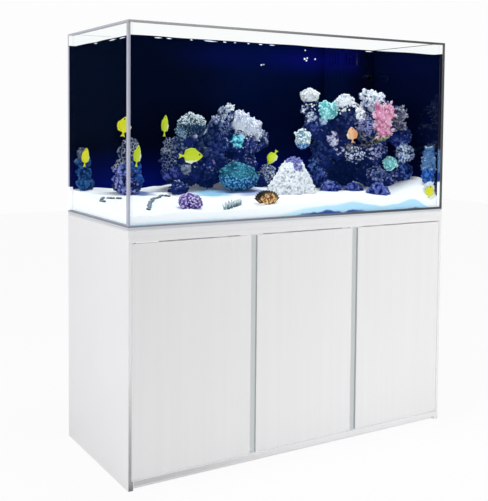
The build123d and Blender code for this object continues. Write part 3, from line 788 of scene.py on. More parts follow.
# Reef rock: porous calcium rock, knobbly all over and crusted with purple and navy algae.
# Pale crusts and colonies cover the knobs, and what faces up is painted paler as painted light;
# the hollows are painted nearly black as painted shade.
SAME_PLACE = 1e-5


def merged_copy(name, filled=False):
    # A filled copy has the necks between its lumps closed
    shape = bmesh.new()
    shape.from_mesh(nodes[name].data)
    bmesh.ops.remove_doubles(shape, verts=shape.verts, dist=SAME_PLACE)
    if filled:
        hull = bmesh.ops.convex_hull(shape, input=shape.verts)
        spare = set(hull["geom_interior"]) | set(hull["geom_unused"])
        spare_points = [part for part in spare if isinstance(part, bmesh.types.BMVert)]
        bmesh.ops.delete(shape, geom=spare_points, context="VERTS")
        outer_faces = set(part for part in hull["geom"] if isinstance(part, bmesh.types.BMFace))
        inner_faces = [face for face in shape.faces if face not in outer_faces]
        bmesh.ops.delete(shape, geom=inner_faces, context="FACES")
    return mesh_from(shape, name + "_form")


def scaled(vector, amount):
    return vector.node("ShaderNodeVectorMath", {"operation": "SCALE"}, {"Vector": vector, "Scale": amount})


weathered, given = new_tree(
    "weathered",
    {
        "Geometry": "Geometry", "Lump size": "Float", "Lump height": "Float", "Knob size": "Float",
        "Knob height": "Float", "Pit height": "Float", "Inset": "Float", "Finish": "Material",
    },
)
spot = given["Geometry"].node("GeometryNodeInputPosition")
lump_place = scaled(spot, given["Lump size"])
knob_place = scaled(spot, given["Knob size"])
lump = noise(lump_place, 1.0, 3.0)
warp = noise(lump_place, 3.0, 2.0)
knob = fall(cells(knob_place, 1.0), 0.05, 0.75)
nub = fall(cells(knob_place, 2.2), 0.05, 0.75)
pit = rise(noise(knob_place, 0.55, 3.0), 0.52, 0.70)
crag = abs(noise(lump_place, 3.2, 2.0) - 0.5)
lump_push = (lump - 0.5 - 0.7 * crag) * given["Lump height"]
knob_push = (knob * warp * 2.0 + nub * 0.4) * given["Knob height"]
push = lump_push + knob_push - pit * given["Pit height"] - given["Inset"]
offset = scaled(spot.node("GeometryNodeInputNormal"), push)
grown = given["Geometry"].node(
    "GeometryNodeStoreNamedAttribute",
    {"data_type": "FLOAT", "domain": "POINT"},
    {"Geometry": given["Geometry"], "Name": "tip", "Value": knob * 0.7 + nub * 0.35 - pit * 0.6 - crag * 0.7},
)
grown = grown.node("GeometryNodeSetPosition", None, {"Geometry": grown, "Offset": offset})
grown = grown.node("GeometryNodeSetShadeSmooth", None, {"Geometry": grown, "Shade Smooth": True})
end_tree(weathered, grown, given["Finish"])


def tip_of(place):
    return place.node("ShaderNodeAttribute", {"attribute_name": "tip"}, output="Fac")


HOLLOW_GLOW = (0.0006, 0.0045, 0.027, 1.0)


def rock_finish(name, hollow, crust, pale, paleness, patches):
    # A patch has a centre, a reach, a dark and a light colour, and may be netted with pale lines.
    # The glow is the blue light that the water scatters into the hollows
    material, place = new_finish(name)
    tip = tip_of(place)
    patch = noise(place, 17.0, 3.0)
    fleck = noise(place, 170.0, 3.0)
    up = facing(place)[2]
    speckle = 0.5 - cells(place, 230.0)
    crowded = tip + 0.7 * fleck + 0.35 * speckle
    stone = blend(rise(patch, 0.40, 0.60), hollow, crust)
    # Painted light: pale crust on knobs and flecks, paler still where the rock faces up
    lit = rise(crowded + 0.30 * up + 0.5 * (patch - 0.5), 0.95, 1.35)
    colour = blend(lit * paleness, stone, pale)
    ragged = 2.0 * (noise(place, 32.0, 3.0) - 0.5) + 0.4 * (fleck - 0.5)
    net = fall(cells(place, 95.0, "DISTANCE_TO_EDGE") + 0.12 * (fleck - 0.5), 0.02, 0.11)
    for centre, reach, dark, light, *pattern in patches.values():
        cover = fall(distance(place, centre) * (1.0 / reach) + ragged, 0.85, 1.05)
        crowding = net if pattern == ["net"] else rise(crowded, 0.38, 0.80)
        colour = blend(cover, colour, blend(crowding, dark, light))
    # Pale flecks, partly real crust and partly painted highlight, most where the rock faces up
    frost = rise(noise(place, 250.0, 3.0) + 0.20 * up + 0.16 * tip, 0.70, 0.84)
    frost = frost * rise(noise(place, 24.0, 2.0), 0.44, 0.62)
    colour = blend(0.8 * frost * paleness, colour, pale)
    # Painted shade: the hollows between the knobs darken to the hollow colour
    colour = blend(0.9 * fall(tip + 0.6 * fleck, 0.14, 0.48), colour, hollow)
    return coat(
        material,
        Base_Color=colour,
        Roughness=0.62 - 0.25 * tip,
        Specular_IOR_Level=0.05,
        Emission_Color=HOLLOW_GLOW,
        Emission_Strength=1.0,
        Normal=bump(fleck + speckle + 0.5 * noise(place, 420.0), 0.7, 0.002),
    )


NAVY = (0.0025, 0.006, 0.040)
INDIGO = (0.010, 0.017, 0.115)
WHITE = (0.90, 0.93, 0.95)
SHADOW = (0.0012, 0.003, 0.018)
ICE = (0.62, 0.74, 0.88)
LILAC = (0.50, 0.46, 0.82)
STEEL_BLUE = (0.30, 0.42, 0.62)
ROCK_VOXEL = 0.0036
ROCK_STEPS = (
    ("REMESH", {"mode": "VOXEL", "voxel_size": ROCK_VOXEL}),
    ("SMOOTH", {"factor": 0.6, "iterations": 8}),
)


def weathering(finish, lump, knob, pit, inset):
    return {
        "Lump size": lump[0], "Lump height": lump[1], "Knob size": knob[0], "Knob height": knob[1],
        "Pit height": pit, "Inset": inset, "Finish": finish,
    }


def weather(
    name, node, finish, lump=(15.0, 0.024), knob=(80.0, 0.0065), pit=0.008, inset=0.0, filled=False,
):
    values = weathering(finish, lump, knob, pit, inset)
    piece = worked(name, merged_copy(node, filled), weathered, values, ROCK_STEPS)
    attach(piece, CARCASS)
    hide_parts(node)
    return piece


REEF_INSET = 0.003
# Patches in the SHADOW colour are painted shade in caves and under ledges
LEFT_PATCHES = {
    "dark_middle": ((-0.164, 0.105, 0.975), 0.066, (0.002, 0.005, 0.022), (0.022, 0.034, 0.085)),
    "dark_right": ((-0.112, 0.078, 0.961), 0.048, (0.002, 0.005, 0.030), (0.020, 0.034, 0.150)),
    "cave": ((-0.151, 0.071, 0.867), 0.040, SHADOW, (0.010, 0.018, 0.090)),
    "crown_side": ((-0.260, 0.098, 1.022), 0.032, (0.010, 0.040, 0.080), (0.16, 0.28, 0.42)),
    "under_crown": ((-0.211, 0.104, 1.002), 0.034, SHADOW, (0.05, 0.08, 0.20)),
    "white_tuft": ((-0.158, 0.125, 1.022), 0.015, ICE, WHITE),
    "lilac_tuft": ((-0.208, 0.096, 1.009), 0.011, LILAC, WHITE),
    "slope_foot": ((-0.130, 0.111, 1.064), 0.030, NAVY, (0.16, 0.20, 0.32)),
    "speckled_face": ((-0.088, 0.095, 1.054), 0.040, (0.003, 0.007, 0.035), (0.14, 0.20, 0.36)),
    "tip_slope": ((-0.100, 0.109, 1.088), 0.034, (0.008, 0.012, 0.035), (0.42, 0.48, 0.58)),
    "pointed_tip": ((-0.054, 0.119, 1.117), 0.022, (0.18, 0.22, 0.28), WHITE),
    "shoulder": ((-0.024, 0.090, 1.056), 0.038, (0.30, 0.42, 0.58), WHITE),
    "shoulder_foot": ((-0.008, 0.080, 1.016), 0.030, (0.06, 0.09, 0.26), (0.52, 0.60, 0.76)),
    "cyan_patch": ((-0.055, 0.074, 0.992), 0.030, (0.02, 0.30, 0.42), (0.25, 0.75, 0.82)),
    "right_knob": ((0.061, 0.089, 1.016), 0.032, (0.012, 0.018, 0.075), (0.32, 0.36, 0.52)),
    "violet_end": ((0.010, 0.081, 0.963), 0.048, (0.003, 0.007, 0.055), (0.050, 0.075, 0.300)),
    "netted_column": ((-0.314, 0.085, 0.956), 0.036, (0.006, 0.009, 0.020), (0.38, 0.42, 0.48), "net"),
    "netted_top": ((-0.307, 0.092, 0.989), 0.024, (0.008, 0.010, 0.020), (0.38, 0.42, 0.48), "net"),
    "netted_foot": ((-0.314, 0.092, 0.913), 0.028, (0.005, 0.009, 0.035), (0.24, 0.28, 0.42), "net"),
    "blue_side": ((-0.265, 0.102, 0.975), 0.026, (0.006, 0.012, 0.045), (0.15, 0.20, 0.34)),
    "violet_foot": ((-0.307, 0.084, 0.876), 0.030, (0.004, 0.007, 0.060), (0.10, 0.11, 0.40)),
    "grey_smudge": ((-0.254, 0.063, 0.897), 0.020, (0.05, 0.06, 0.09), (0.20, 0.23, 0.30)),
    "pink_ledge": ((-0.154, 0.059, 0.918), 0.010, (0.02, 0.02, 0.10), (0.24, 0.18, 0.36)),
    "ringed_knob": ((0.089, 0.084, 0.888), 0.036, (0.03, 0.06, 0.16), (0.55, 0.62, 0.75), "net"),
}
left_finish = rock_finish("left_reef_finish", NAVY, INDIGO, ICE, 0.55, LEFT_PATCHES)
left_reef = weather("left_reef", "left_reef_rock", left_finish, inset=REEF_INSET)
# Patches in the SHADOW colour are painted shade in caves and under ledges
RIGHT_PATCHES = {
    "cave": ((0.325, 0.009, 0.894), 0.070, SHADOW, (0.006, 0.012, 0.055)),
    "under_rim": ((0.375, -0.020, 0.901), 0.040, SHADOW, (0.008, 0.014, 0.055)),
    "black_hole": ((0.288, -0.071, 1.022), 0.036, SHADOW, (0.012, 0.012, 0.040)),
    "navy_face": ((0.226, -0.026, 0.954), 0.044, (0.002, 0.006, 0.036), (0.022, 0.040, 0.160)),
    "blue_face": ((0.196, -0.030, 1.055), 0.032, (0.004, 0.008, 0.070), (0.060, 0.090, 0.300)),
    "white_specks": ((0.164, -0.007, 1.101), 0.024, NAVY, (0.62, 0.68, 0.82)),
    "lower_specks": ((0.195, -0.019, 1.084), 0.026, NAVY, (0.50, 0.57, 0.76)),
    "ice_speck": ((0.229, -0.038, 1.064), 0.014, STEEL_BLUE, ICE),
    "lilac_knob": ((0.267, -0.047, 1.004), 0.022, (0.16, 0.13, 0.34), (0.80, 0.80, 0.92)),
    "ridge_left": ((0.285, -0.038, 1.135), 0.036, (0.80, 0.82, 0.84), WHITE),
    "ridge_middle": ((0.304, -0.076, 1.142), 0.036, (0.80, 0.82, 0.84), WHITE),
    "ridge_right": ((0.359, -0.064, 1.125), 0.026, (0.60, 0.62, 0.68), WHITE),
    "ridge_drop": ((0.354, -0.093, 1.104), 0.022, (0.60, 0.62, 0.68), WHITE),
    "ridge_foot": ((0.350, -0.099, 1.079), 0.024, (0.50, 0.52, 0.62), WHITE),
    "dark_under_ridge": ((0.302, -0.074, 1.085), 0.034, SHADOW, (0.045, 0.060, 0.170)),
    "white_top": ((0.398, -0.110, 1.143), 0.044, (0.45, 0.52, 0.72), WHITE),
    "top_spur": ((0.372, -0.081, 1.164), 0.020, (0.45, 0.50, 0.62), WHITE),
    "blue_top_foot": ((0.379, -0.094, 1.126), 0.014, (0.08, 0.10, 0.35), (0.50, 0.58, 0.82)),
    "lilac_cluster": ((0.371, -0.106, 1.058), 0.024, (0.025, 0.025, 0.120), (0.36, 0.37, 0.64)),
    "lilac_foot": ((0.368, -0.083, 1.026), 0.024, (0.035, 0.035, 0.130), (0.36, 0.36, 0.54)),
    "grey_brown_shelf": ((0.386, -0.084, 0.994), 0.034, (0.020, 0.018, 0.016), (0.24, 0.23, 0.22)),
    "grey_brown_rim": ((0.326, -0.080, 0.975), 0.024, (0.020, 0.018, 0.018), (0.26, 0.25, 0.26)),
    "olive_foot": ((0.422, -0.129, 1.009), 0.028, (0.05, 0.06, 0.02), (0.38, 0.40, 0.14)),
    "rim_left": ((0.285, -0.065, 0.956), 0.018, NAVY, (0.60, 0.62, 0.80)),
    "rim_middle": ((0.317, -0.076, 0.937), 0.020, (0.004, 0.006, 0.050), (0.72, 0.74, 0.88)),
    "rim_front": ((0.350, -0.096, 0.941), 0.022, (0.004, 0.006, 0.050), (0.72, 0.74, 0.88)),
    "rim_right": ((0.385, -0.120, 0.949), 0.024, (0.004, 0.006, 0.045), (0.54, 0.55, 0.76)),
    "rim_end": ((0.413, -0.135, 0.956), 0.020, (0.006, 0.008, 0.045), (0.24, 0.26, 0.46)),
    "violet_right": ((0.491, -0.125, 0.976), 0.032, (0.004, 0.007, 0.055), (0.050, 0.065, 0.280)),
    "blue_lump": ((0.216, 0.000, 0.896), 0.032, (0.005, 0.016, 0.100), (0.10, 0.19, 0.46)),
    "violet_lump": ((0.229, -0.030, 0.859), 0.028, (0.004, 0.010, 0.070), (0.060, 0.090, 0.360)),
    "nodules": ((0.525, -0.151, 0.944), 0.040, (0.030, 0.060, 0.260), (0.62, 0.74, 0.90)),
    "upper_nodules": ((0.518, -0.137, 0.969), 0.028, (0.020, 0.045, 0.200), (0.48, 0.60, 0.82)),
    "blue_right": ((0.538, -0.149, 0.883), 0.040, (0.006, 0.020, 0.140), (0.090, 0.160, 0.460)),
    "speckled_foot": ((0.419, -0.124, 0.870), 0.038, (0.003, 0.008, 0.040), (0.090, 0.120, 0.280)),
    "grey_foot": ((0.470, -0.130, 0.876), 0.030, (0.004, 0.008, 0.040), (0.070, 0.090, 0.240)),
    "violet_twig_foot": ((0.518, -0.124, 1.040), 0.030, (0.010, 0.014, 0.05), (0.16, 0.17, 0.28)),
}
right_finish = rock_finish("right_reef_finish", NAVY, INDIGO, ICE, 0.6, RIGHT_PATCHES)
right_reef = weather("right_reef", "right_reef_rock", right_finish, inset=REEF_INSET)
white_rock = rock_finish(
    "white_rubble_finish", (0.48, 0.50, 0.53), (0.92, 0.92, 0.92), (0.97, 0.97, 0.97), 0.9,
    {
        "crumbs": ((0.090, -0.080, 0.850), 0.200, (0.76, 0.78, 0.80), (0.98, 0.98, 0.98)),
        "violet_knob": ((0.090, -0.070, 0.922), 0.036, (0.012, 0.010, 0.110), (0.30, 0.30, 0.72)),
    },
)
weather("rubble", "rubble_rock", white_rock, lump=(24.0, 0.020), knob=(150.0, 0.006), pit=0.005, filled=True)
grey_rock = rock_finish(
    "netted_pillar_finish", (0.004, 0.007, 0.022), (0.030, 0.040, 0.085), (0.30, 0.33, 0.42), 0.7,
    {
        "corner_net": ((-0.450, 0.090, 0.945), 0.070, (0.006, 0.008, 0.016), (0.40, 0.43, 0.48), "net"),
        "corner_foot": ((-0.470, 0.078, 0.846), 0.060, (0.008, 0.014, 0.090), (0.28, 0.30, 0.66)),
        "blue_behind": ((-0.405, 0.100, 0.895), 0.062, (0.003, 0.014, 0.090), (0.020, 0.080, 0.320)),
        "rear_net": ((-0.563, 0.205, 0.950), 0.036, (0.012, 0.016, 0.026), (0.28, 0.33, 0.40), "net"),
        "rear_foot": ((-0.560, 0.205, 0.860), 0.065, (0.003, 0.016, 0.090), (0.020, 0.110, 0.280)),
    },
)
weather("corner_pillar", "corner_rock", grey_rock, knob=(90.0, 0.006))
weather("rear_pillar", "rear_rock", grey_rock, lump=(22.0, 0.010), knob=(110.0, 0.005), pit=0.003)
end_rock = rock_finish(
    "blue_white_rock_finish", (0.02, 0.06, 0.18), (0.11, 0.22, 0.40), ICE, 0.9,
    {
        "blue_waist": ((0.562, -0.222, 0.876), 0.032, (0.006, 0.030, 0.24), (0.05, 0.18, 0.58)),
        "white_foot": ((0.568, -0.215, 0.822), 0.034, (0.70, 0.78, 0.84), WHITE),
    },
)
weather(
    "right_end_pillar", "right_end_rock", end_rock,
    lump=(30.0, 0.020), knob=(90.0, 0.007), pit=0.004, filled=True,
)
blue_rock = rock_finish(
    "blue_stone_finish", (0.003, 0.006, 0.050), (0.010, 0.016, 0.120), (0.70, 0.76, 0.92), 1.0,
    {"streaks": ((0.320, -0.110, 0.825), 0.200, (0.003, 0.007, 0.075), (0.10, 0.13, 0.44))},
)
weather(
    "stones_on_sand", "sand_stones", blue_rock,
    lump=(24.0, 0.010), knob=(95.0, 0.005), pit=0.003, inset=-0.005,
)

# Coral colonies: stony skeletons under living polyps, cemented to the rock by their own growth.
# Buds, fingers and forked twigs crowd over each colony and are palest at their tips.
POLYP_SIDES = 6
BUD_PROFILE = ((0.0, -0.2), (0.8, 0.0), (1.0, 0.45), (0.62, 0.85), (0.0, 1.0))
FINGER_PROFILE = ((0.0, -0.1), (1.0, -0.1), (0.85, 0.45), (0.62, 0.86), (0.0, 1.0))
TWIG_SIDES = 5
FORKS = ((0.0, 0.0, 1.0), (0.55, 0.20, 0.80), (-0.45, 0.35, 0.86), (-0.05, -0.55, 0.74))


def tip_layer(shape, length):
    layer = shape.verts.layers.float.new("tip")
    for vertex in shape.verts:
        vertex[layer] = max(0.0, min(1.0, vertex.co.z / length))


def turned_shape(profile, sides, length):
    shape = bmesh.new()
    lathe(shape, profile, sides)
    tip_layer(shape, length)
    return shape


def twig_shape():
    shape = bmesh.new()
    for lean_x, lean_y, top in FORKS:
        before = set(shape.verts)
        profile = [(0.0, 0.0), (0.16, 0.0), (0.11, 0.6 * top), (0.085, 0.92 * top), (0.0, top)]
        lathe(shape, profile, TWIG_SIDES)
        for vertex in set(shape.verts) - before:
            bend = vertex.co.z ** 1.4
            vertex.co.x += lean_x * bend
            vertex.co.y += lean_y * bend
    tip_layer(shape, 1.0)
    return shape


def smooth_pattern(name, shape):
    return pattern_object(name, mesh_from(shape, name, smooth=True))


BUD = smooth_pattern("bud", turned_shape(BUD_PROFILE, POLYP_SIDES, 1.0))
FINGER = smooth_pattern("finger", turned_shape(FINGER_PROFILE, POLYP_SIDES, 1.0))
TWIG = smooth_pattern("twig", twig_shape())

colony, given = new_tree(
    "colony",
    {
        "Geometry": "Geometry", "Bud": "Object", "Centre": "Vector", "Reach": "Float", "Density": "Float",
        "Girth": "Float", "Length": "Float", "Uprightness": "Float", "Keep": "Bool", "Seed": "Int",
        "Finish": "Material",
    },
)
host = given["Geometry"]
where = host.node("GeometryNodeInputPosition")
ragged = distance(where, given["Centre"]) + (noise(where, 55.0) - 0.5) * given["Reach"] * 0.9
inside = where.node("FunctionNodeCompare", {"operation": "LESS_THAN"}, {"A": ragged, "B": given["Reach"]})
scattered = host.node(
    "GeometryNodeDistributePointsOnFaces",
    None,
    {"Mesh": host, "Selection": inside, "Density": given["Density"], "Seed": given["Seed"]},
    "Points",
)
skyward = scattered.node(
    "ShaderNodeMix",
    {"data_type": "VECTOR"},
    {"Factor": given["Uprightness"], "A": scattered.out("Normal"), "B": (0.0, 0.0, 1.0)},
)
spin = scattered.node(
    "FunctionNodeRandomValue", {"data_type": "FLOAT_VECTOR"},
    {"Min": (-0.35, -0.35, -3.14), "Max": (0.35, 0.35, 3.14), "Seed": given["Seed"]},
)
aligned = scattered.node("FunctionNodeAlignRotationToVector", {"axis": "Z"}, {"Vector": skyward})
turned = scattered.node(
    "FunctionNodeRotateRotation", {"rotation_space": "LOCAL"}, {"Rotation": aligned, "Rotate By": spin}
)
growth = scattered.node(
    "FunctionNodeRandomValue", {"data_type": "FLOAT"}, {"Min": 0.55, "Max": 1.25, "Seed": given["Seed"] + 7.0}
)
girth = growth * given["Girth"]
bud_size = girth.node("ShaderNodeCombineXYZ", None, {"X": girth, "Y": girth, "Z": growth * given["Length"]})
bud = host.node("GeometryNodeObjectInfo", None, {"Object": given["Bud"]}, "Geometry")
buds = scattered.node(
    "GeometryNodeInstanceOnPoints", None,
    {"Points": scattered, "Instance": bud, "Rotation": turned, "Scale": bud_size},
)
kept = host.node("GeometryNodeSwitch", {"input_type": "GEOMETRY"}, {"Switch": given["Keep"], "True": host})
joined = host.node("GeometryNodeJoinGeometry", None, {"Geometry": [kept, buds]})
end_tree(colony, joined, given["Finish"])


def polyp_finish(name, dark, light, tip_colour, foot=None):
    # A colony may have a differently coloured foot, given as its height, its dark and its light colour
    material, place = new_finish(name)
    tip = tip_of(place)
    patch = noise(place, 30.0, 3.0)
    grainy = noise(place, 380.0, 3.0)
    body = blend(rise(patch + 0.4 * grainy, 0.5, 0.9), dark, light)
    colour = blend(rise(tip + 0.5 * (patch - 0.5), 0.25, 0.85), body, tip_colour)
    if foot:
        height, foot_dark, foot_light = foot
        low_down = 1.0 - past(axes(place)[2] + 0.03 * (patch - 0.5), height, 0.004)
        colour = blend(low_down, colour, blend(rise(tip + grainy, 0.7, 1.3), foot_dark, foot_light))
    return coat(
        material,
        Base_Color=colour,
        Roughness=0.50 + 0.2 * grainy,
        Specular_IOR_Level=0.08,
        Normal=bump(grainy, 0.5, 0.0012),
    )


CORAL_VOXEL = 0.0030
CORAL_STEPS = (
    ("REMESH", {"mode": "VOXEL", "voxel_size": CORAL_VOXEL}),
    ("SMOOTH", {"factor": 0.6, "iterations": 6}),
)
CORAL_KNOB = (160.0, 0.002)
CORAL_PIT = 0.001
EVERYWHERE = 10.0


def grow(
    name, host, bud, finish, density, girth, length, upright, seed,
    centre=(0.0, 0.0, 0.0), reach=EVERYWHERE, keep=False,
):
    values = {
        "Bud": bud, "Centre": centre, "Reach": reach, "Density": density, "Girth": girth,
        "Length": length, "Uprightness": upright, "Keep": keep, "Seed": seed, "Finish": finish,
    }
    piece = worked(name, host.data.copy(), colony, values)
    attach(piece, CARCASS)
    return piece


def coral(
    node, bud, colours, density, girth, length, upright, seed,
    inset=0.003, lump=(34.0, 0.012), filled=False,
):
    finish = polyp_finish(node + "_finish", *colours)
    values = weathering(finish, lump, CORAL_KNOB, CORAL_PIT, inset)
    form = worked(node + "_form", merged_copy(node, filled), weathered, values, CORAL_STEPS)
    piece = grow(node + "_colony", form, bud, finish, density, girth, length, upright, seed, keep=True)
    bpy.data.objects.remove(form)
    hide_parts(node)


# The bud, how many stand on a square metre, their girth, length and uprightness, and the inset of the form
CORALS = {
    "crown_coral": (FINGER, 30000, 0.0020, 0.011, 0.6, 0.009),
    "plume_coral": (FINGER, 16000, 0.0034, 0.008, 0.2, 0.008),
    "plate_coral": (BUD, 9000, 0.0054, 0.008, 0.3, 0.007),
    "knob_coral": (BUD, 12000, 0.0042, 0.005, 0.1, 0.004),
    "fan_coral": (TWIG, 5200, 0.013, 0.021, 0.4, 0.000),
    "ball_coral": (BUD, 12000, 0.0046, 0.008, 0.6, 0.007),
    "green_coral": (BUD, 16000, 0.0036, 0.005, 0.1, 0.004),
    "twig_coral": (TWIG, 5000, 0.010, 0.020, 0.4, 0.000),
    "dome_coral": (BUD, 9000, 0.0036, 0.003, 0.1, 0.000),
}
# The dark, the light and the tip's colour
CORAL_COLOURS = {
    "crown_coral": ((0.010, 0.035, 0.06), (0.10, 0.20, 0.28), (0.84, 0.91, 0.95)),
    "plume_coral": ((0.40, 0.44, 0.64), (0.82, 0.85, 0.92), (0.95, 0.95, 0.96)),
    "plate_coral": ((0.06, 0.38, 0.42), (0.28, 0.74, 0.74), (0.50, 0.86, 0.86)),
    "knob_coral": ((0.40, 0.42, 0.46), (0.92, 0.93, 0.94), (0.97, 0.97, 0.97)),
    "fan_coral": ((0.62, 0.14, 0.32), (0.96, 0.44, 0.64), (1.0, 0.80, 0.90)),
    "ball_coral": ((0.10, 0.24, 0.36), (0.60, 0.80, 0.84), (0.96, 0.99, 0.97)),
    "green_coral": ((0.06, 0.42, 0.46), (0.28, 0.72, 0.70), (0.62, 0.95, 0.92)),
    "twig_coral": ((0.04, 0.04, 0.09), (0.16, 0.16, 0.26), (0.62, 0.64, 0.74)),
    "dome_coral": ((0.004, 0.035, 0.090), (0.030, 0.18, 0.28), (0.10, 0.40, 0.50)),
}
CORAL_FEET = {
    "dome_coral": (0.872, (0.008, 0.060, 0.22), (0.16, 0.50, 0.74)),
    "ball_coral": (0.985, (0.03, 0.14, 0.40), (0.40, 0.66, 0.86)),
    "crown_coral": (1.046, (0.006, 0.022, 0.065), (0.10, 0.20, 0.34)),
}
FIRST_CORAL_SEED = 3
for seed, (node, habit) in enumerate(CORALS.items(), FIRST_CORAL_SEED):
    bud, density, girth, length, upright, inset = habit
    colours = (*CORAL_COLOURS[node], CORAL_FEET.get(node))
    coral(node, bud, colours, density, girth, length, upright, seed, inset)

BUD_COLOURS = {
    "ice": ((0.05, 0.07, 0.18), (0.32, 0.40, 0.60), (0.80, 0.86, 0.94)),
    "violet": ((0.008, 0.012, 0.08), (0.050, 0.060, 0.26), (0.34, 0.36, 0.66)),
    "white": ((0.60, 0.64, 0.70), (0.90, 0.91, 0.94), (0.97, 0.97, 0.97)),
    "cyan": ((0.008, 0.030, 0.07), (0.06, 0.14, 0.24), (0.34, 0.48, 0.58)),
}
bud_finishes = {name: polyp_finish(name + "_bud_finish", *tones) for name, tones in BUD_COLOURS.items()}
# The bud, its colours, how many stand on a square metre, their girth and length, the centre and the reach
# of the patch, and their uprightness
LEFT_COLONIES = {
    "crown_fringe": (FINGER, "cyan", 15000, 0.0026, 0.009, (-0.255, 0.098, 1.026), 0.030, 0.35),
    "tip_fringe": (FINGER, "white", 11000, 0.0020, 0.008, (-0.056, 0.119, 1.116), 0.018, 0.55),
    "slope_strands": (FINGER, "ice", 9000, 0.0016, 0.009, (-0.098, 0.106, 1.082), 0.036, 0.55),
    "face_strands": (FINGER, "violet", 6000, 0.0018, 0.008, (-0.090, 0.096, 1.050), 0.040, 0.5),
    "shoulder_fringe": (BUD, "white", 12000, 0.0030, 0.003, (-0.018, 0.088, 1.042), 0.040, 0.2),
    "knob_rim": (FINGER, "ice", 6000, 0.0022, 0.006, (0.062, 0.090, 1.020), 0.026, 0.4),
    "violet_end_buds": (BUD, "violet", 4000, 0.0034, 0.004, (0.012, 0.080, 0.962), 0.046, 0.2),
    "ringed_knob_buds": (BUD, "ice", 9000, 0.0030, 0.004, (0.088, 0.084, 0.888), 0.034, 0.2),
}
RIGHT_COLONIES = {
    "ridge_fringe": (BUD, "white", 13000, 0.0040, 0.005, (0.305, -0.062, 1.140), 0.046, 0.2),
    "ridge_drop_buds": (BUD, "white", 13000, 0.0040, 0.005, (0.353, -0.094, 1.094), 0.026, 0.2),
    "top_fringe": (FINGER, "white", 12000, 0.0034, 0.008, (0.396, -0.104, 1.150), 0.042, 0.35),
    "left_specks": (BUD, "white", 4500, 0.0036, 0.005, (0.178, -0.012, 1.094), 0.034, 0.3),
    "lilac_buds": (BUD, "violet", 14000, 0.0042, 0.006, (0.370, -0.100, 1.044), 0.034, 0.2),
    "rim_frill": (FINGER, "ice", 5000, 0.0026, 0.007, (0.340, -0.090, 0.942), 0.038, 0.3),
    "rim_end_frill": (FINGER, "violet", 6000, 0.0026, 0.007, (0.402, -0.128, 0.953), 0.028, 0.3),
    "nodule_side": (BUD, "ice", 6000, 0.0050, 0.006, (0.523, -0.148, 0.950), 0.034, 0.2),
    "foot_buds": (BUD, "violet", 3000, 0.0042, 0.005, (0.430, -0.130, 0.865), 0.060, 0.2),
}
FIRST_COLONY_SEED = 20
seed = FIRST_COLONY_SEED
for reef, colonies in ((left_reef, LEFT_COLONIES), (right_reef, RIGHT_COLONIES)):
    for name, (bud, colours, density, girth, length, centre, reach, upright) in colonies.items():
        finish = bud_finishes[colours]
        patch_piece = grow(name, reef, bud, finish, density, girth, length, upright, seed, centre, reach)
        seed += 1

# Brain coral: a purple ball that lies loose on the sand, its stony skeleton under living polyps.
# The blunt lavender polyps are packed close together and are palest at their tips.
BRAIN_COLOURS = ((0.035, 0.015, 0.16), (0.14, 0.07, 0.36), (0.66, 0.56, 0.88))
coral(
    "brain_coral", BUD, BRAIN_COLOURS,
    density=26000, girth=0.0032, length=0.0046, upright=0.1, seed=12, lump=(34.0, 0.003), filled=True,
)

# Clam: two ribbed shells, orange-brown with a dark rim, hinged below and a little open.
# It lies half sunk in the sand.
FAN = 1.25
VALVE_RIBS = 11
VALVE_STEPS = 10
VALVE_BULGE = 0.013
VALVE_WALL = 0.0025
VALVE_GAP = 0.003
RIB_HEIGHT = 0.0012
CLAM_SUNK = 0.002


def valve(shape, side, width, height):
    # A fan of ribs with an outer and an inner sheet, closed along its rim
    layer = shape.verts.layers.float["tip"]
    sheets = []
    for skin in (0.0, VALVE_WALL):
        sheet = []
        for i in range(VALVE_STEPS + 1):
            along = i / VALVE_STEPS
            row = []
            for j in range(2 * VALVE_RIBS + 1):
                turn = (j / VALVE_RIBS - 1.0) * FAN
                rib = math.cos(math.pi * j)
                reach = 1.0 + 0.05 * rib
                x = 0.5 * width * along * math.sin(turn) * 1.06 * reach
                z = height * along * (0.35 + 0.65 * math.cos(turn)) * reach
                belly = VALVE_BULGE * math.sin(math.pi * min(1.0, 0.12 + 0.88 * along)) ** 0.8
                out = belly * (0.6 + 0.4 * math.cos(turn)) + RIB_HEIGHT * rib * along + VALVE_GAP - skin
                row.append(shape.verts.new((x, side * out, z)))
                row[-1][layer] = max(along, (abs(turn) / FAN) ** 5)
            sheet.append(row)
        sheets.append(sheet)
    rims = []
    for sheet in sheets:
        for low, high in zip(sheet, sheet[1:]):
            for j in range(2 * VALVE_RIBS):
                shape.faces.new((low[j], low[j + 1], high[j + 1], high[j]))
        rims.append([sheet[-1], [row[-1] for row in reversed(sheet)], [row[0] for row in sheet], sheet[0]])
    for first, second in zip(*rims):
        for a, b, c, d in zip(first, first[1:], second[1:], second):
            shape.faces.new((a, b, c, d))


# The side of each valve, the angle that it leans by and its height
VALVES = {"front": (-1, 4.0, 0.050), "rear": (1, -14.0, 0.051)}
clam_low, clam_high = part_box("clam_valves")
clam_shape = bmesh.new()
clam_shape.verts.layers.float.new("tip")
for side, lean, tall in VALVES.values():
    before = set(clam_shape.verts)
    valve(clam_shape, side, clam_high.x - clam_low.x, tall)
    opened = Matrix.Rotation(math.radians(lean), 4, "X")
    for vertex in set(clam_shape.verts) - before:
        vertex.co = opened @ vertex.co
bmesh.ops.remove_doubles(clam_shape, verts=clam_shape.verts, dist=SAME_PLACE)
clam_mesh = mesh_from(clam_shape, "clam", smooth=True)
clam_place = (clam_low + clam_high) / 2
clam_place.z = clam_low.z - CLAM_SUNK
clam_mesh.transform(Matrix.Translation(clam_place))
clam = new_piece("clam", clam_mesh)
shell, place = new_finish("ridged_shell")
rim = tip_of(place)
mottle = cells(place, 150.0, "SMOOTH_F1")
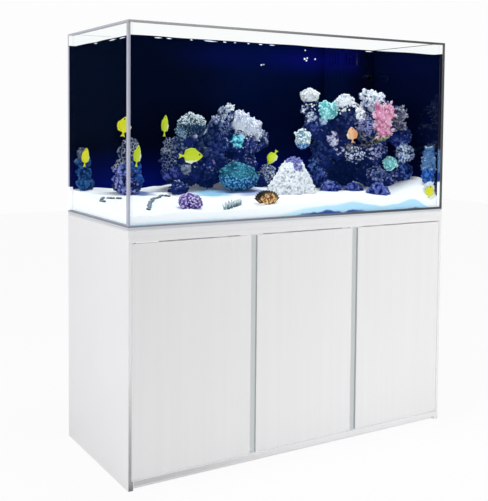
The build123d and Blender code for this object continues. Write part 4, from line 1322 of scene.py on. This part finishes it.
tan = blend(rise(mottle, 0.30, 0.50), (0.95, 0.58, 0.22), (0.16, 0.05, 0.012))
tan = blend(rise(noise(place, 120.0, 3.0), 0.58, 0.70), tan, (0.98, 0.78, 0.46))
coat(
    shell,
    Base_Color=blend(rise(rim, 0.80, 0.92), tan, (0.012, 0.007, 0.004)),
    Roughness=0.45 + 0.2 * mottle,
    Normal=bump(mottle, 0.3, 0.001),
)
clam.data.materials.append(shell)
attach(clam, CARCASS)
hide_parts("clam_valves")

# Small growth on the sand: strings of dark grey-blue shells and a row of forked grey sprigs.
# They lie loose, pressed into the sand by their own weight.
SHELL_STRINGS = {
    "left_shell_string": (
        (-0.503, -0.176), (-0.452, -0.076), (-0.400, 0.005), (-0.358, 0.030), (-0.342, 0.000),
    ),
    "rear_shell_string": (
        (-0.577, -0.015), (-0.572, 0.018), (-0.556, 0.045), (-0.530, 0.050), (-0.498, 0.018),
    ),
}
SHELL_SPACING = 0.011
SHELL_SCATTER = 0.003
SHELL_SUNK = 0.001
FIRST_STRING_SEED = 300
BEAD_HEIGHT = 0.0070
BEAD_PROFILE = ((0.0, 0.0), (0.0050, 0.001), (0.0062, 0.0032), (0.0040, 0.0062), (0.0, BEAD_HEIGHT))
BEAD_SIDES = 7
bead = smooth_pattern("shell_bead", turned_shape(BEAD_PROFILE, BEAD_SIDES, BEAD_HEIGHT))
bead_finish = polyp_finish("shell_bead_finish", (0.01, 0.015, 0.02), (0.05, 0.07, 0.09), (0.26, 0.32, 0.38))
for seed, (name, corners) in enumerate(SHELL_STRINGS.items(), FIRST_STRING_SEED):
    chance = random.Random(seed)
    places = []
    for (x0, y0), (x1, y1) in zip(corners, corners[1:]):
        count = max(2, round(math.hypot(x1 - x0, y1 - y0) / SHELL_SPACING))
        for step in range(count):
            share = step / count
            x = x0 + (x1 - x0) * share + chance.uniform(-SHELL_SCATTER, SHELL_SCATTER)
            y = y0 + (y1 - y0) * share + chance.uniform(-SHELL_SCATTER, SHELL_SCATTER)
            places.append((x, y, sand_top(x, y) - SHELL_SUNK))
    string_points = points_mesh(name + "_places", places)
    string = worked(name, string_points, set_out, {"Head": bead, "Finish": bead_finish})
    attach(string, CARCASS)

SPRIG_PLACES = (
    (-0.270, -0.222), (-0.256, -0.219), (-0.243, -0.214), (-0.230, -0.207), (-0.217, -0.198),
    (-0.204, -0.188), (-0.191, -0.177), (-0.243, -0.194), (-0.222, -0.178),
)
SPRIG_SIZE = (0.021, 0.021, 0.029)
SPRIG_SUNK = 0.007
sprig_finish = polyp_finish("grey_sprig_finish", (0.07, 0.12, 0.15), (0.26, 0.35, 0.38), (0.58, 0.68, 0.70))
sprig_shape = twig_shape()
bmesh.ops.scale(sprig_shape, vec=SPRIG_SIZE, verts=sprig_shape.verts)
sprig = smooth_pattern("sprig", sprig_shape)
sprig_points = points_mesh("sprig_places", [(x, y, sand_top(x, y) - SPRIG_SUNK) for x, y in SPRIG_PLACES])
sprigs = worked("sand_sprigs", sprig_points, set_out, {"Head": sprig, "Finish": sprig_finish})
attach(sprigs, CARCASS)

# Fish: small deep-bodied reef fish, lime yellow with pale bellies, and one peach-coloured.
# Each has a rounded body, flat fins as thin as card, and dark eyes.
BODY_STATIONS = (
    (0.00, 0.06, 0.10), (0.05, 0.26, 0.40), (0.14, 0.58, 0.74), (0.28, 0.90, 1.00), (0.42, 1.00, 0.98),
    (0.58, 0.90, 0.78), (0.72, 0.62, 0.50), (0.84, 0.28, 0.26), (0.92, 0.15, 0.14), (0.96, 0.13, 0.08),
)
BODY_SIDES = 12
TAIL_FIN = ((0.92, 0.0), (0.94, 0.15), (1.12, 0.42), (1.08, 0.0), (1.12, -0.42), (0.94, -0.15))
BACK_FIN = ((0.22, 0.70), (0.34, 1.22), (0.56, 1.32), (0.80, 1.02), (0.86, 0.26), (0.60, 0.76), (0.40, 0.92))
BELLY_FIN = ((0.40, -0.92), (0.52, -1.28), (0.80, -1.00), (0.86, -0.26), (0.60, -0.76))
FIN_THICKNESS = 0.0008
EYE_ALONG = 0.14
EYE_UP = 0.22
EYE_OUT = 0.33
EYE_RADIUS = 0.075
FISH_THICKNESS = 0.32


def fish_mesh(name, length, height, thickness):
    shape = bmesh.new()
    belly = shape.verts.layers.float.new("belly")

    def spot(along, up, out=0.0):
        vertex = shape.verts.new((length * (0.5 - along), out, 0.5 * height * up))
        vertex[belly] = up
        return vertex

    rings = []
    for along, tall, wide in BODY_STATIONS:
        turns = [2.0 * math.pi * step / BODY_SIDES for step in range(BODY_SIDES)]
        rings.append([spot(along, tall * math.sin(t), 0.5 * thickness * wide * math.cos(t)) for t in turns])
    for near, far in zip(rings, rings[1:]):
        for step in range(BODY_SIDES):
            after = (step + 1) % BODY_SIDES
            shape.faces.new((near[step], near[after], far[after], far[step]))
    shape.faces.new(rings[0])
    shape.faces.new(list(reversed(rings[-1])))
    for outline in (TAIL_FIN, BACK_FIN, BELLY_FIN):
        left = [spot(along, up, -FIN_THICKNESS) for along, up in outline]
        right = [spot(along, up, FIN_THICKNESS) for along, up in outline]
        shape.faces.new(left)
        shape.faces.new(list(reversed(right)))
        for step in range(len(outline)):
            after = (step + 1) % len(outline)
            shape.faces.new((left[after], left[step], right[step], right[after]))
    for side in (-1, 1):
        before = set(shape.faces)
        centre = (length * (0.5 - EYE_ALONG), side * EYE_OUT * thickness, 0.5 * height * EYE_UP)
        eye_place = Matrix.Translation(centre)
        bmesh.ops.create_icosphere(shape, subdivisions=2, radius=EYE_RADIUS * height, matrix=eye_place)
        for face in set(shape.faces) - before:
            face.material_index = 1
    bmesh.ops.triangulate(shape, faces=[face for face in shape.faces if len(face.verts) > 4])
    return mesh_from(shape, name, smooth=True)


def fish_skin(name, back, flank, pale):
    material, place = new_finish(name)
    belly = place.node("ShaderNodeAttribute", {"attribute_name": "belly"}, output="Fac")
    scales = cells(place, 900.0)
    shade = blend(rise(belly, -0.2, 0.7), flank, back)
    shade = blend(fall(belly + 0.2 * (noise(place, 200.0) - 0.5), -0.95, -0.62), shade, pale)
    return coat(
        material,
        Base_Color=blend(0.25 * scales, shade, [0.7 * part for part in flank]),
        Roughness=0.30 + 0.2 * scales,
        Normal=bump(scales, 0.25, 0.0006),
    )


eye_finish, place = new_finish("dark_eye")
eye_black = blend(noise(place, 500.0), (0.004, 0.004, 0.005), (0.02, 0.02, 0.02))
coat(eye_finish, Base_Color=eye_black, Roughness=0.08)
lime = fish_skin("lime_yellow_skin", (0.52, 0.62, 0.012), (0.62, 0.72, 0.020), (0.90, 0.92, 0.78))
yellow = fish_skin("bright_yellow_skin", (0.78, 0.74, 0.010), (0.86, 0.84, 0.015), (0.90, 0.90, 0.30))
peach = fish_skin("peach_skin", (0.80, 0.34, 0.14), (0.92, 0.52, 0.28), (0.95, 0.85, 0.74))
# The place of each fish, its heading, pitch and roll, its length and height, and its skin
FISH = {
    "fish_side": ((-0.269, 0.000, 0.946), (-31.0, 0.0, 0.0), 0.070, 0.040, lime),
    "fish_rising": ((-0.366, 0.000, 1.047), (20.0, 84.0, 0.0), 0.062, 0.025, lime),
    "fish_slanting": ((0.029, -0.020, 0.936), (150.0, -58.0, 20.0), 0.050, 0.028, lime),
    "fish_left": ((-0.556, -0.120, 1.044), (-8.0, 80.0, 0.0), 0.054, 0.034, yellow),
    "fish_pillar": ((-0.461, 0.000, 0.952), (5.0, 82.0, 0.0), 0.062, 0.021, lime),
    "fish_rear": ((-0.570, 0.165, 0.942), (0.0, 82.0, 0.0), 0.056, 0.021, yellow),
    "fish_right": ((0.561, -0.229, 0.818), (0.0, 80.0, 0.0), 0.042, 0.032, yellow),
    "fish_peach": ((0.294, -0.120, 1.019), (140.0, 84.0, 0.0), 0.050, 0.030, peach),
}
for name, (centre, (heading, pitch, roll), length, height, skin) in FISH.items():
    turn = Matrix.Rotation(math.radians(heading), 4, "Z") @ Matrix.Rotation(math.radians(-pitch), 4, "Y")
    turn = turn @ Matrix.Rotation(math.radians(roll), 4, "X")
    mesh = fish_mesh(name, length, height, FISH_THICKNESS * height)
    mesh.transform(Matrix.Translation(centre) @ turn)
    mesh.materials.append(skin)
    mesh.materials.append(eye_finish)
    fish = new_piece(name, mesh)
    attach(fish, CARCASS)

# Water: clear and still, filled to 40 mm below the rim, with a little movement on its surface.
# Seen from inside, its side and its surface mirror the blue film, as water in a tank does.
WATER_CLEARANCE = Vector((0.0004, 0.0004, 0.0004))
WATER_GRID = (98, 40)
WATER_MEAN = WATER_LINE - 0.0008
SWELL_HEIGHT = 0.0004


def water_top(x, y):
    swell = math.sin(26.0 * x + 4.0 * math.sin(9.0 * y)) + 0.7 * math.sin(41.0 * y + 3.0 * math.sin(13.0 * x))
    return WATER_MEAN + SWELL_HEIGHT * swell


water_low, water_high = sand_low + WATER_CLEARANCE, sand_high - WATER_CLEARANCE
water = new_piece("water", filled_box("water", water_low, water_high, water_top, WATER_GRID))
water_finish, place = new_finish("still_water")
from_inside = seen_from_inside(place)
normal = facing(place)
fresnel = place.node("ShaderNodeFresnel", None, {"IOR": GLASS_INDEX})
mirrors = rise(abs(normal[2]), 0.4, 0.6) + 0.12 * rise(abs(normal[0]), 0.4, 0.6)
surface = rise(normal[2], 0.4, 0.6)
gloss = fresnel * larger(from_inside * mirrors, 0.5 * surface) * not_shadow(place)
tinted = place.node("ShaderNodeBsdfTransparent", None, {"Color": (0.955, 0.98, 1.0, 1.0)})
sheen = place.node("ShaderNodeBsdfGlossy", None, {"Color": (0.94, 0.97, 1.0, 1.0), "Roughness": 0.015})
finish_with(water_finish, mix_shader(gloss, tinted, sheen))
water.data.materials.append(water_finish)
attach(water, CARCASS)

# Glints and bubbles: painted highlights, glowing slivers where the surface curls up against the panes, and a
# few bubbles that glow as well. The slivers lie along the front and left panes just under the water line.
FRONT_GLINTS = (
    (-0.515, -0.488), (-0.476, -0.458), (-0.400, -0.390), (-0.356, -0.306), (-0.290, -0.276),
    (-0.252, -0.244), (-0.205, -0.196), (-0.164, -0.150), (-0.126, -0.104), (0.252, 0.286),
)
SIDE_GLINTS = ((-0.196, -0.150), (-0.128, -0.070), (0.020, 0.050))
GLINT_DEPTH = 0.0048
GLINT_GIRTH = 0.0015
GLINT_TILT = 0.02
GLINT_SIDES = 6
BUBBLES = (
    (0.012, 1.286, 0.0022), (0.010, 1.259, 0.0030), (0.020, 1.262, 0.0024), (0.017, 1.254, 0.0026),
    (0.051, 1.260, 0.0024), (-0.152, 1.233, 0.0024), (-0.143, 1.235, 0.0018),
)
BUBBLES_BEHIND_PANE = 0.006
glint_shape = bmesh.new()


def add_spindle(centre, turn, length, girth):
    before = set(glint_shape.verts)
    half = length / 2
    profile = [(0.0, -half), (0.8 * girth, -0.6 * half), (girth, 0.1 * half), (0.0, half)]
    lathe(glint_shape, profile, GLINT_SIDES)
    for vertex in set(glint_shape.verts) - before:
        vertex.co = turn @ vertex.co + Vector(centre)


along_front = Matrix.Rotation(math.pi / 2 + GLINT_TILT, 3, "Y")
along_side = Matrix.Rotation(math.pi / 2 - GLINT_TILT, 3, "X")
glint_level = WATER_LINE - GLINT_DEPTH
for start, stop in FRONT_GLINTS:
    centre = ((start + stop) / 2, sand_low.y + 2 * GLINT_GIRTH, glint_level)
    add_spindle(centre, along_front, stop - start, GLINT_GIRTH)
for start, stop in SIDE_GLINTS:
    centre = (sand_low.x + 2 * GLINT_GIRTH, (start + stop) / 2, glint_level)
    add_spindle(centre, along_side, stop - start, GLINT_GIRTH)
for x, z, radius in BUBBLES:
    bubble_place = Matrix.Translation((x, sand_low.y + BUBBLES_BEHIND_PANE, z))
    bmesh.ops.create_icosphere(glint_shape, subdivisions=2, radius=radius, matrix=bubble_place)
glints = new_piece("ripples_and_bubbles", mesh_from(glint_shape, "ripples_and_bubbles", smooth=True))
bright_water, place = new_finish("bright_water")
shimmer = noise(place, 400.0, 3.0)
GLINT_GLOW = 0.35
coat(
    bright_water,
    Base_Color=blend(shimmer, (0.70, 0.78, 0.92), (0.96, 0.98, 1.0)),
    Roughness=0.15 + 0.1 * shimmer,
    Alpha=0.65 + 0.35 * rise(shimmer, 0.40, 0.60),
    Emission_Color=(0.86, 0.92, 1.0, 1.0),
    Emission_Strength=GLINT_GLOW,
)
glints.data.materials.append(bright_water)
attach(glints, CARCASS)

# Studio: a sheet of white paper for a floor, which keeps a faint shadow, in a white room.
# The light is soft: it comes from all round, from a softbox on each side and from a lamp over the tank.
FLOOR_SIZE = 14.0
FLOOR_BELOW = 0.0005
PAPER_GLOW = 0.94
floor_shape = bmesh.new()
bmesh.ops.create_grid(floor_shape, x_segments=1, y_segments=1, size=FLOOR_SIZE / 2)
floor = new_piece("studio_floor", mesh_from(floor_shape, "studio_floor"))
floor.data.transform(Matrix.Translation((0.0, 0.0, cad_box[0].z - FLOOR_BELOW)))
paper, place = new_finish("white_paper")
coat(paper, Base_Color=blend(noise(place, 2.0), (0.86, 0.86, 0.86), (0.88, 0.88, 0.88)), Roughness=0.9)
seen = place.node("ShaderNodeLightPath", output="Is Camera Ray")
white_light = place.node("ShaderNodeEmission", None, {"Color": (0.990, 0.990, 0.990, 1.0), "Strength": 1.0})
finish_with(paper, mix_shader(PAPER_GLOW * seen, principled(paper), white_light))
floor.data.materials.append(paper)

world = bpy.data.worlds.new("studio")
scene.world = world
world.use_nodes = True
sky = Wire(world.node_tree)
path = sky.node("ShaderNodeLightPath", output="Is Camera Ray")
white = larger(path, larger(path.out("Is Glossy Ray"), path.out("Is Transmission Ray")))
AMBIENT = 0.436
backdrop = world.node_tree.nodes["Background"]
backdrop.inputs["Color"].default_value = (0.982, 0.982, 0.982, 1.0)
world.node_tree.links.new((AMBIENT + (1.0 - AMBIENT) * white).socket, backdrop.inputs["Strength"])


def softbox(name, place, target, size, watts):
    lamp = bpy.data.lights.new(name, "AREA")
    lamp.shape = "RECTANGLE"
    lamp.size, lamp.size_y = size
    lamp.energy = watts
    stand = bpy.data.objects.new(name, lamp)
    stand.location = place
    stand.rotation_mode = "QUATERNION"
    stand.rotation_quaternion = (Vector(target) - Vector(place)).to_track_quat("-Z", "Y")
    stand.visible_camera = False
    stand.visible_glossy = False
    scene.collection.objects.link(stand)


# The place of each lamp, what it points at, its size and its watts
LAMPS = {
    "left_softbox": ((-3.2, -0.4, 1.3), (-0.6, 0.0, 0.4), (1.6, 1.8), 37.0),
    "right_softbox": ((1.0, -2.3, 0.7), (0.4, -0.25, 0.4), (1.0, 1.0), 19.5),
    "tank_lamp": ((0.1, -0.10, 2.5), (0.1, 0.0, 0.8), (1.1, 0.5), 24.0),
}
for name, lamp in LAMPS.items():
    softbox(name, *lamp)

# Camera: stands to the left of the front, level with the middle of the tank, and looks slightly down.
# Its lens is shifted to take in the whole cabinet, so the uprights stay nearly parallel.
CAMERA_PLACE = Vector((-1.5323, -2.4164, 1.0585))
CAMERA_YAW = math.radians(31.166)
CAMERA_PITCH = math.radians(-2.996)
CAMERA_ROLL = math.radians(0.488)
CAMERA_LENS = 60.166
CAMERA_SHIFT = -0.1695
NEAREST_SEEN = 0.05
CLEAR_LAYERS = 32
camera = bpy.data.objects.new("camera", bpy.data.cameras.new("camera"))
camera.data.lens = CAMERA_LENS
camera.data.shift_y = CAMERA_SHIFT
camera.data.clip_start = NEAREST_SEEN
scene.collection.objects.link(camera)
level = Matrix.Rotation(-CAMERA_YAW, 4, "Z") @ Matrix.Rotation(math.pi / 2 + CAMERA_PITCH, 4, "X")
camera.matrix_world = Matrix.Translation(CAMERA_PLACE) @ level @ Matrix.Rotation(CAMERA_ROLL, 4, "Z")
scene.camera = camera
scene.cycles.transparent_max_bounces = CLEAR_LAYERS
scene.view_settings.view_transform = "Standard"
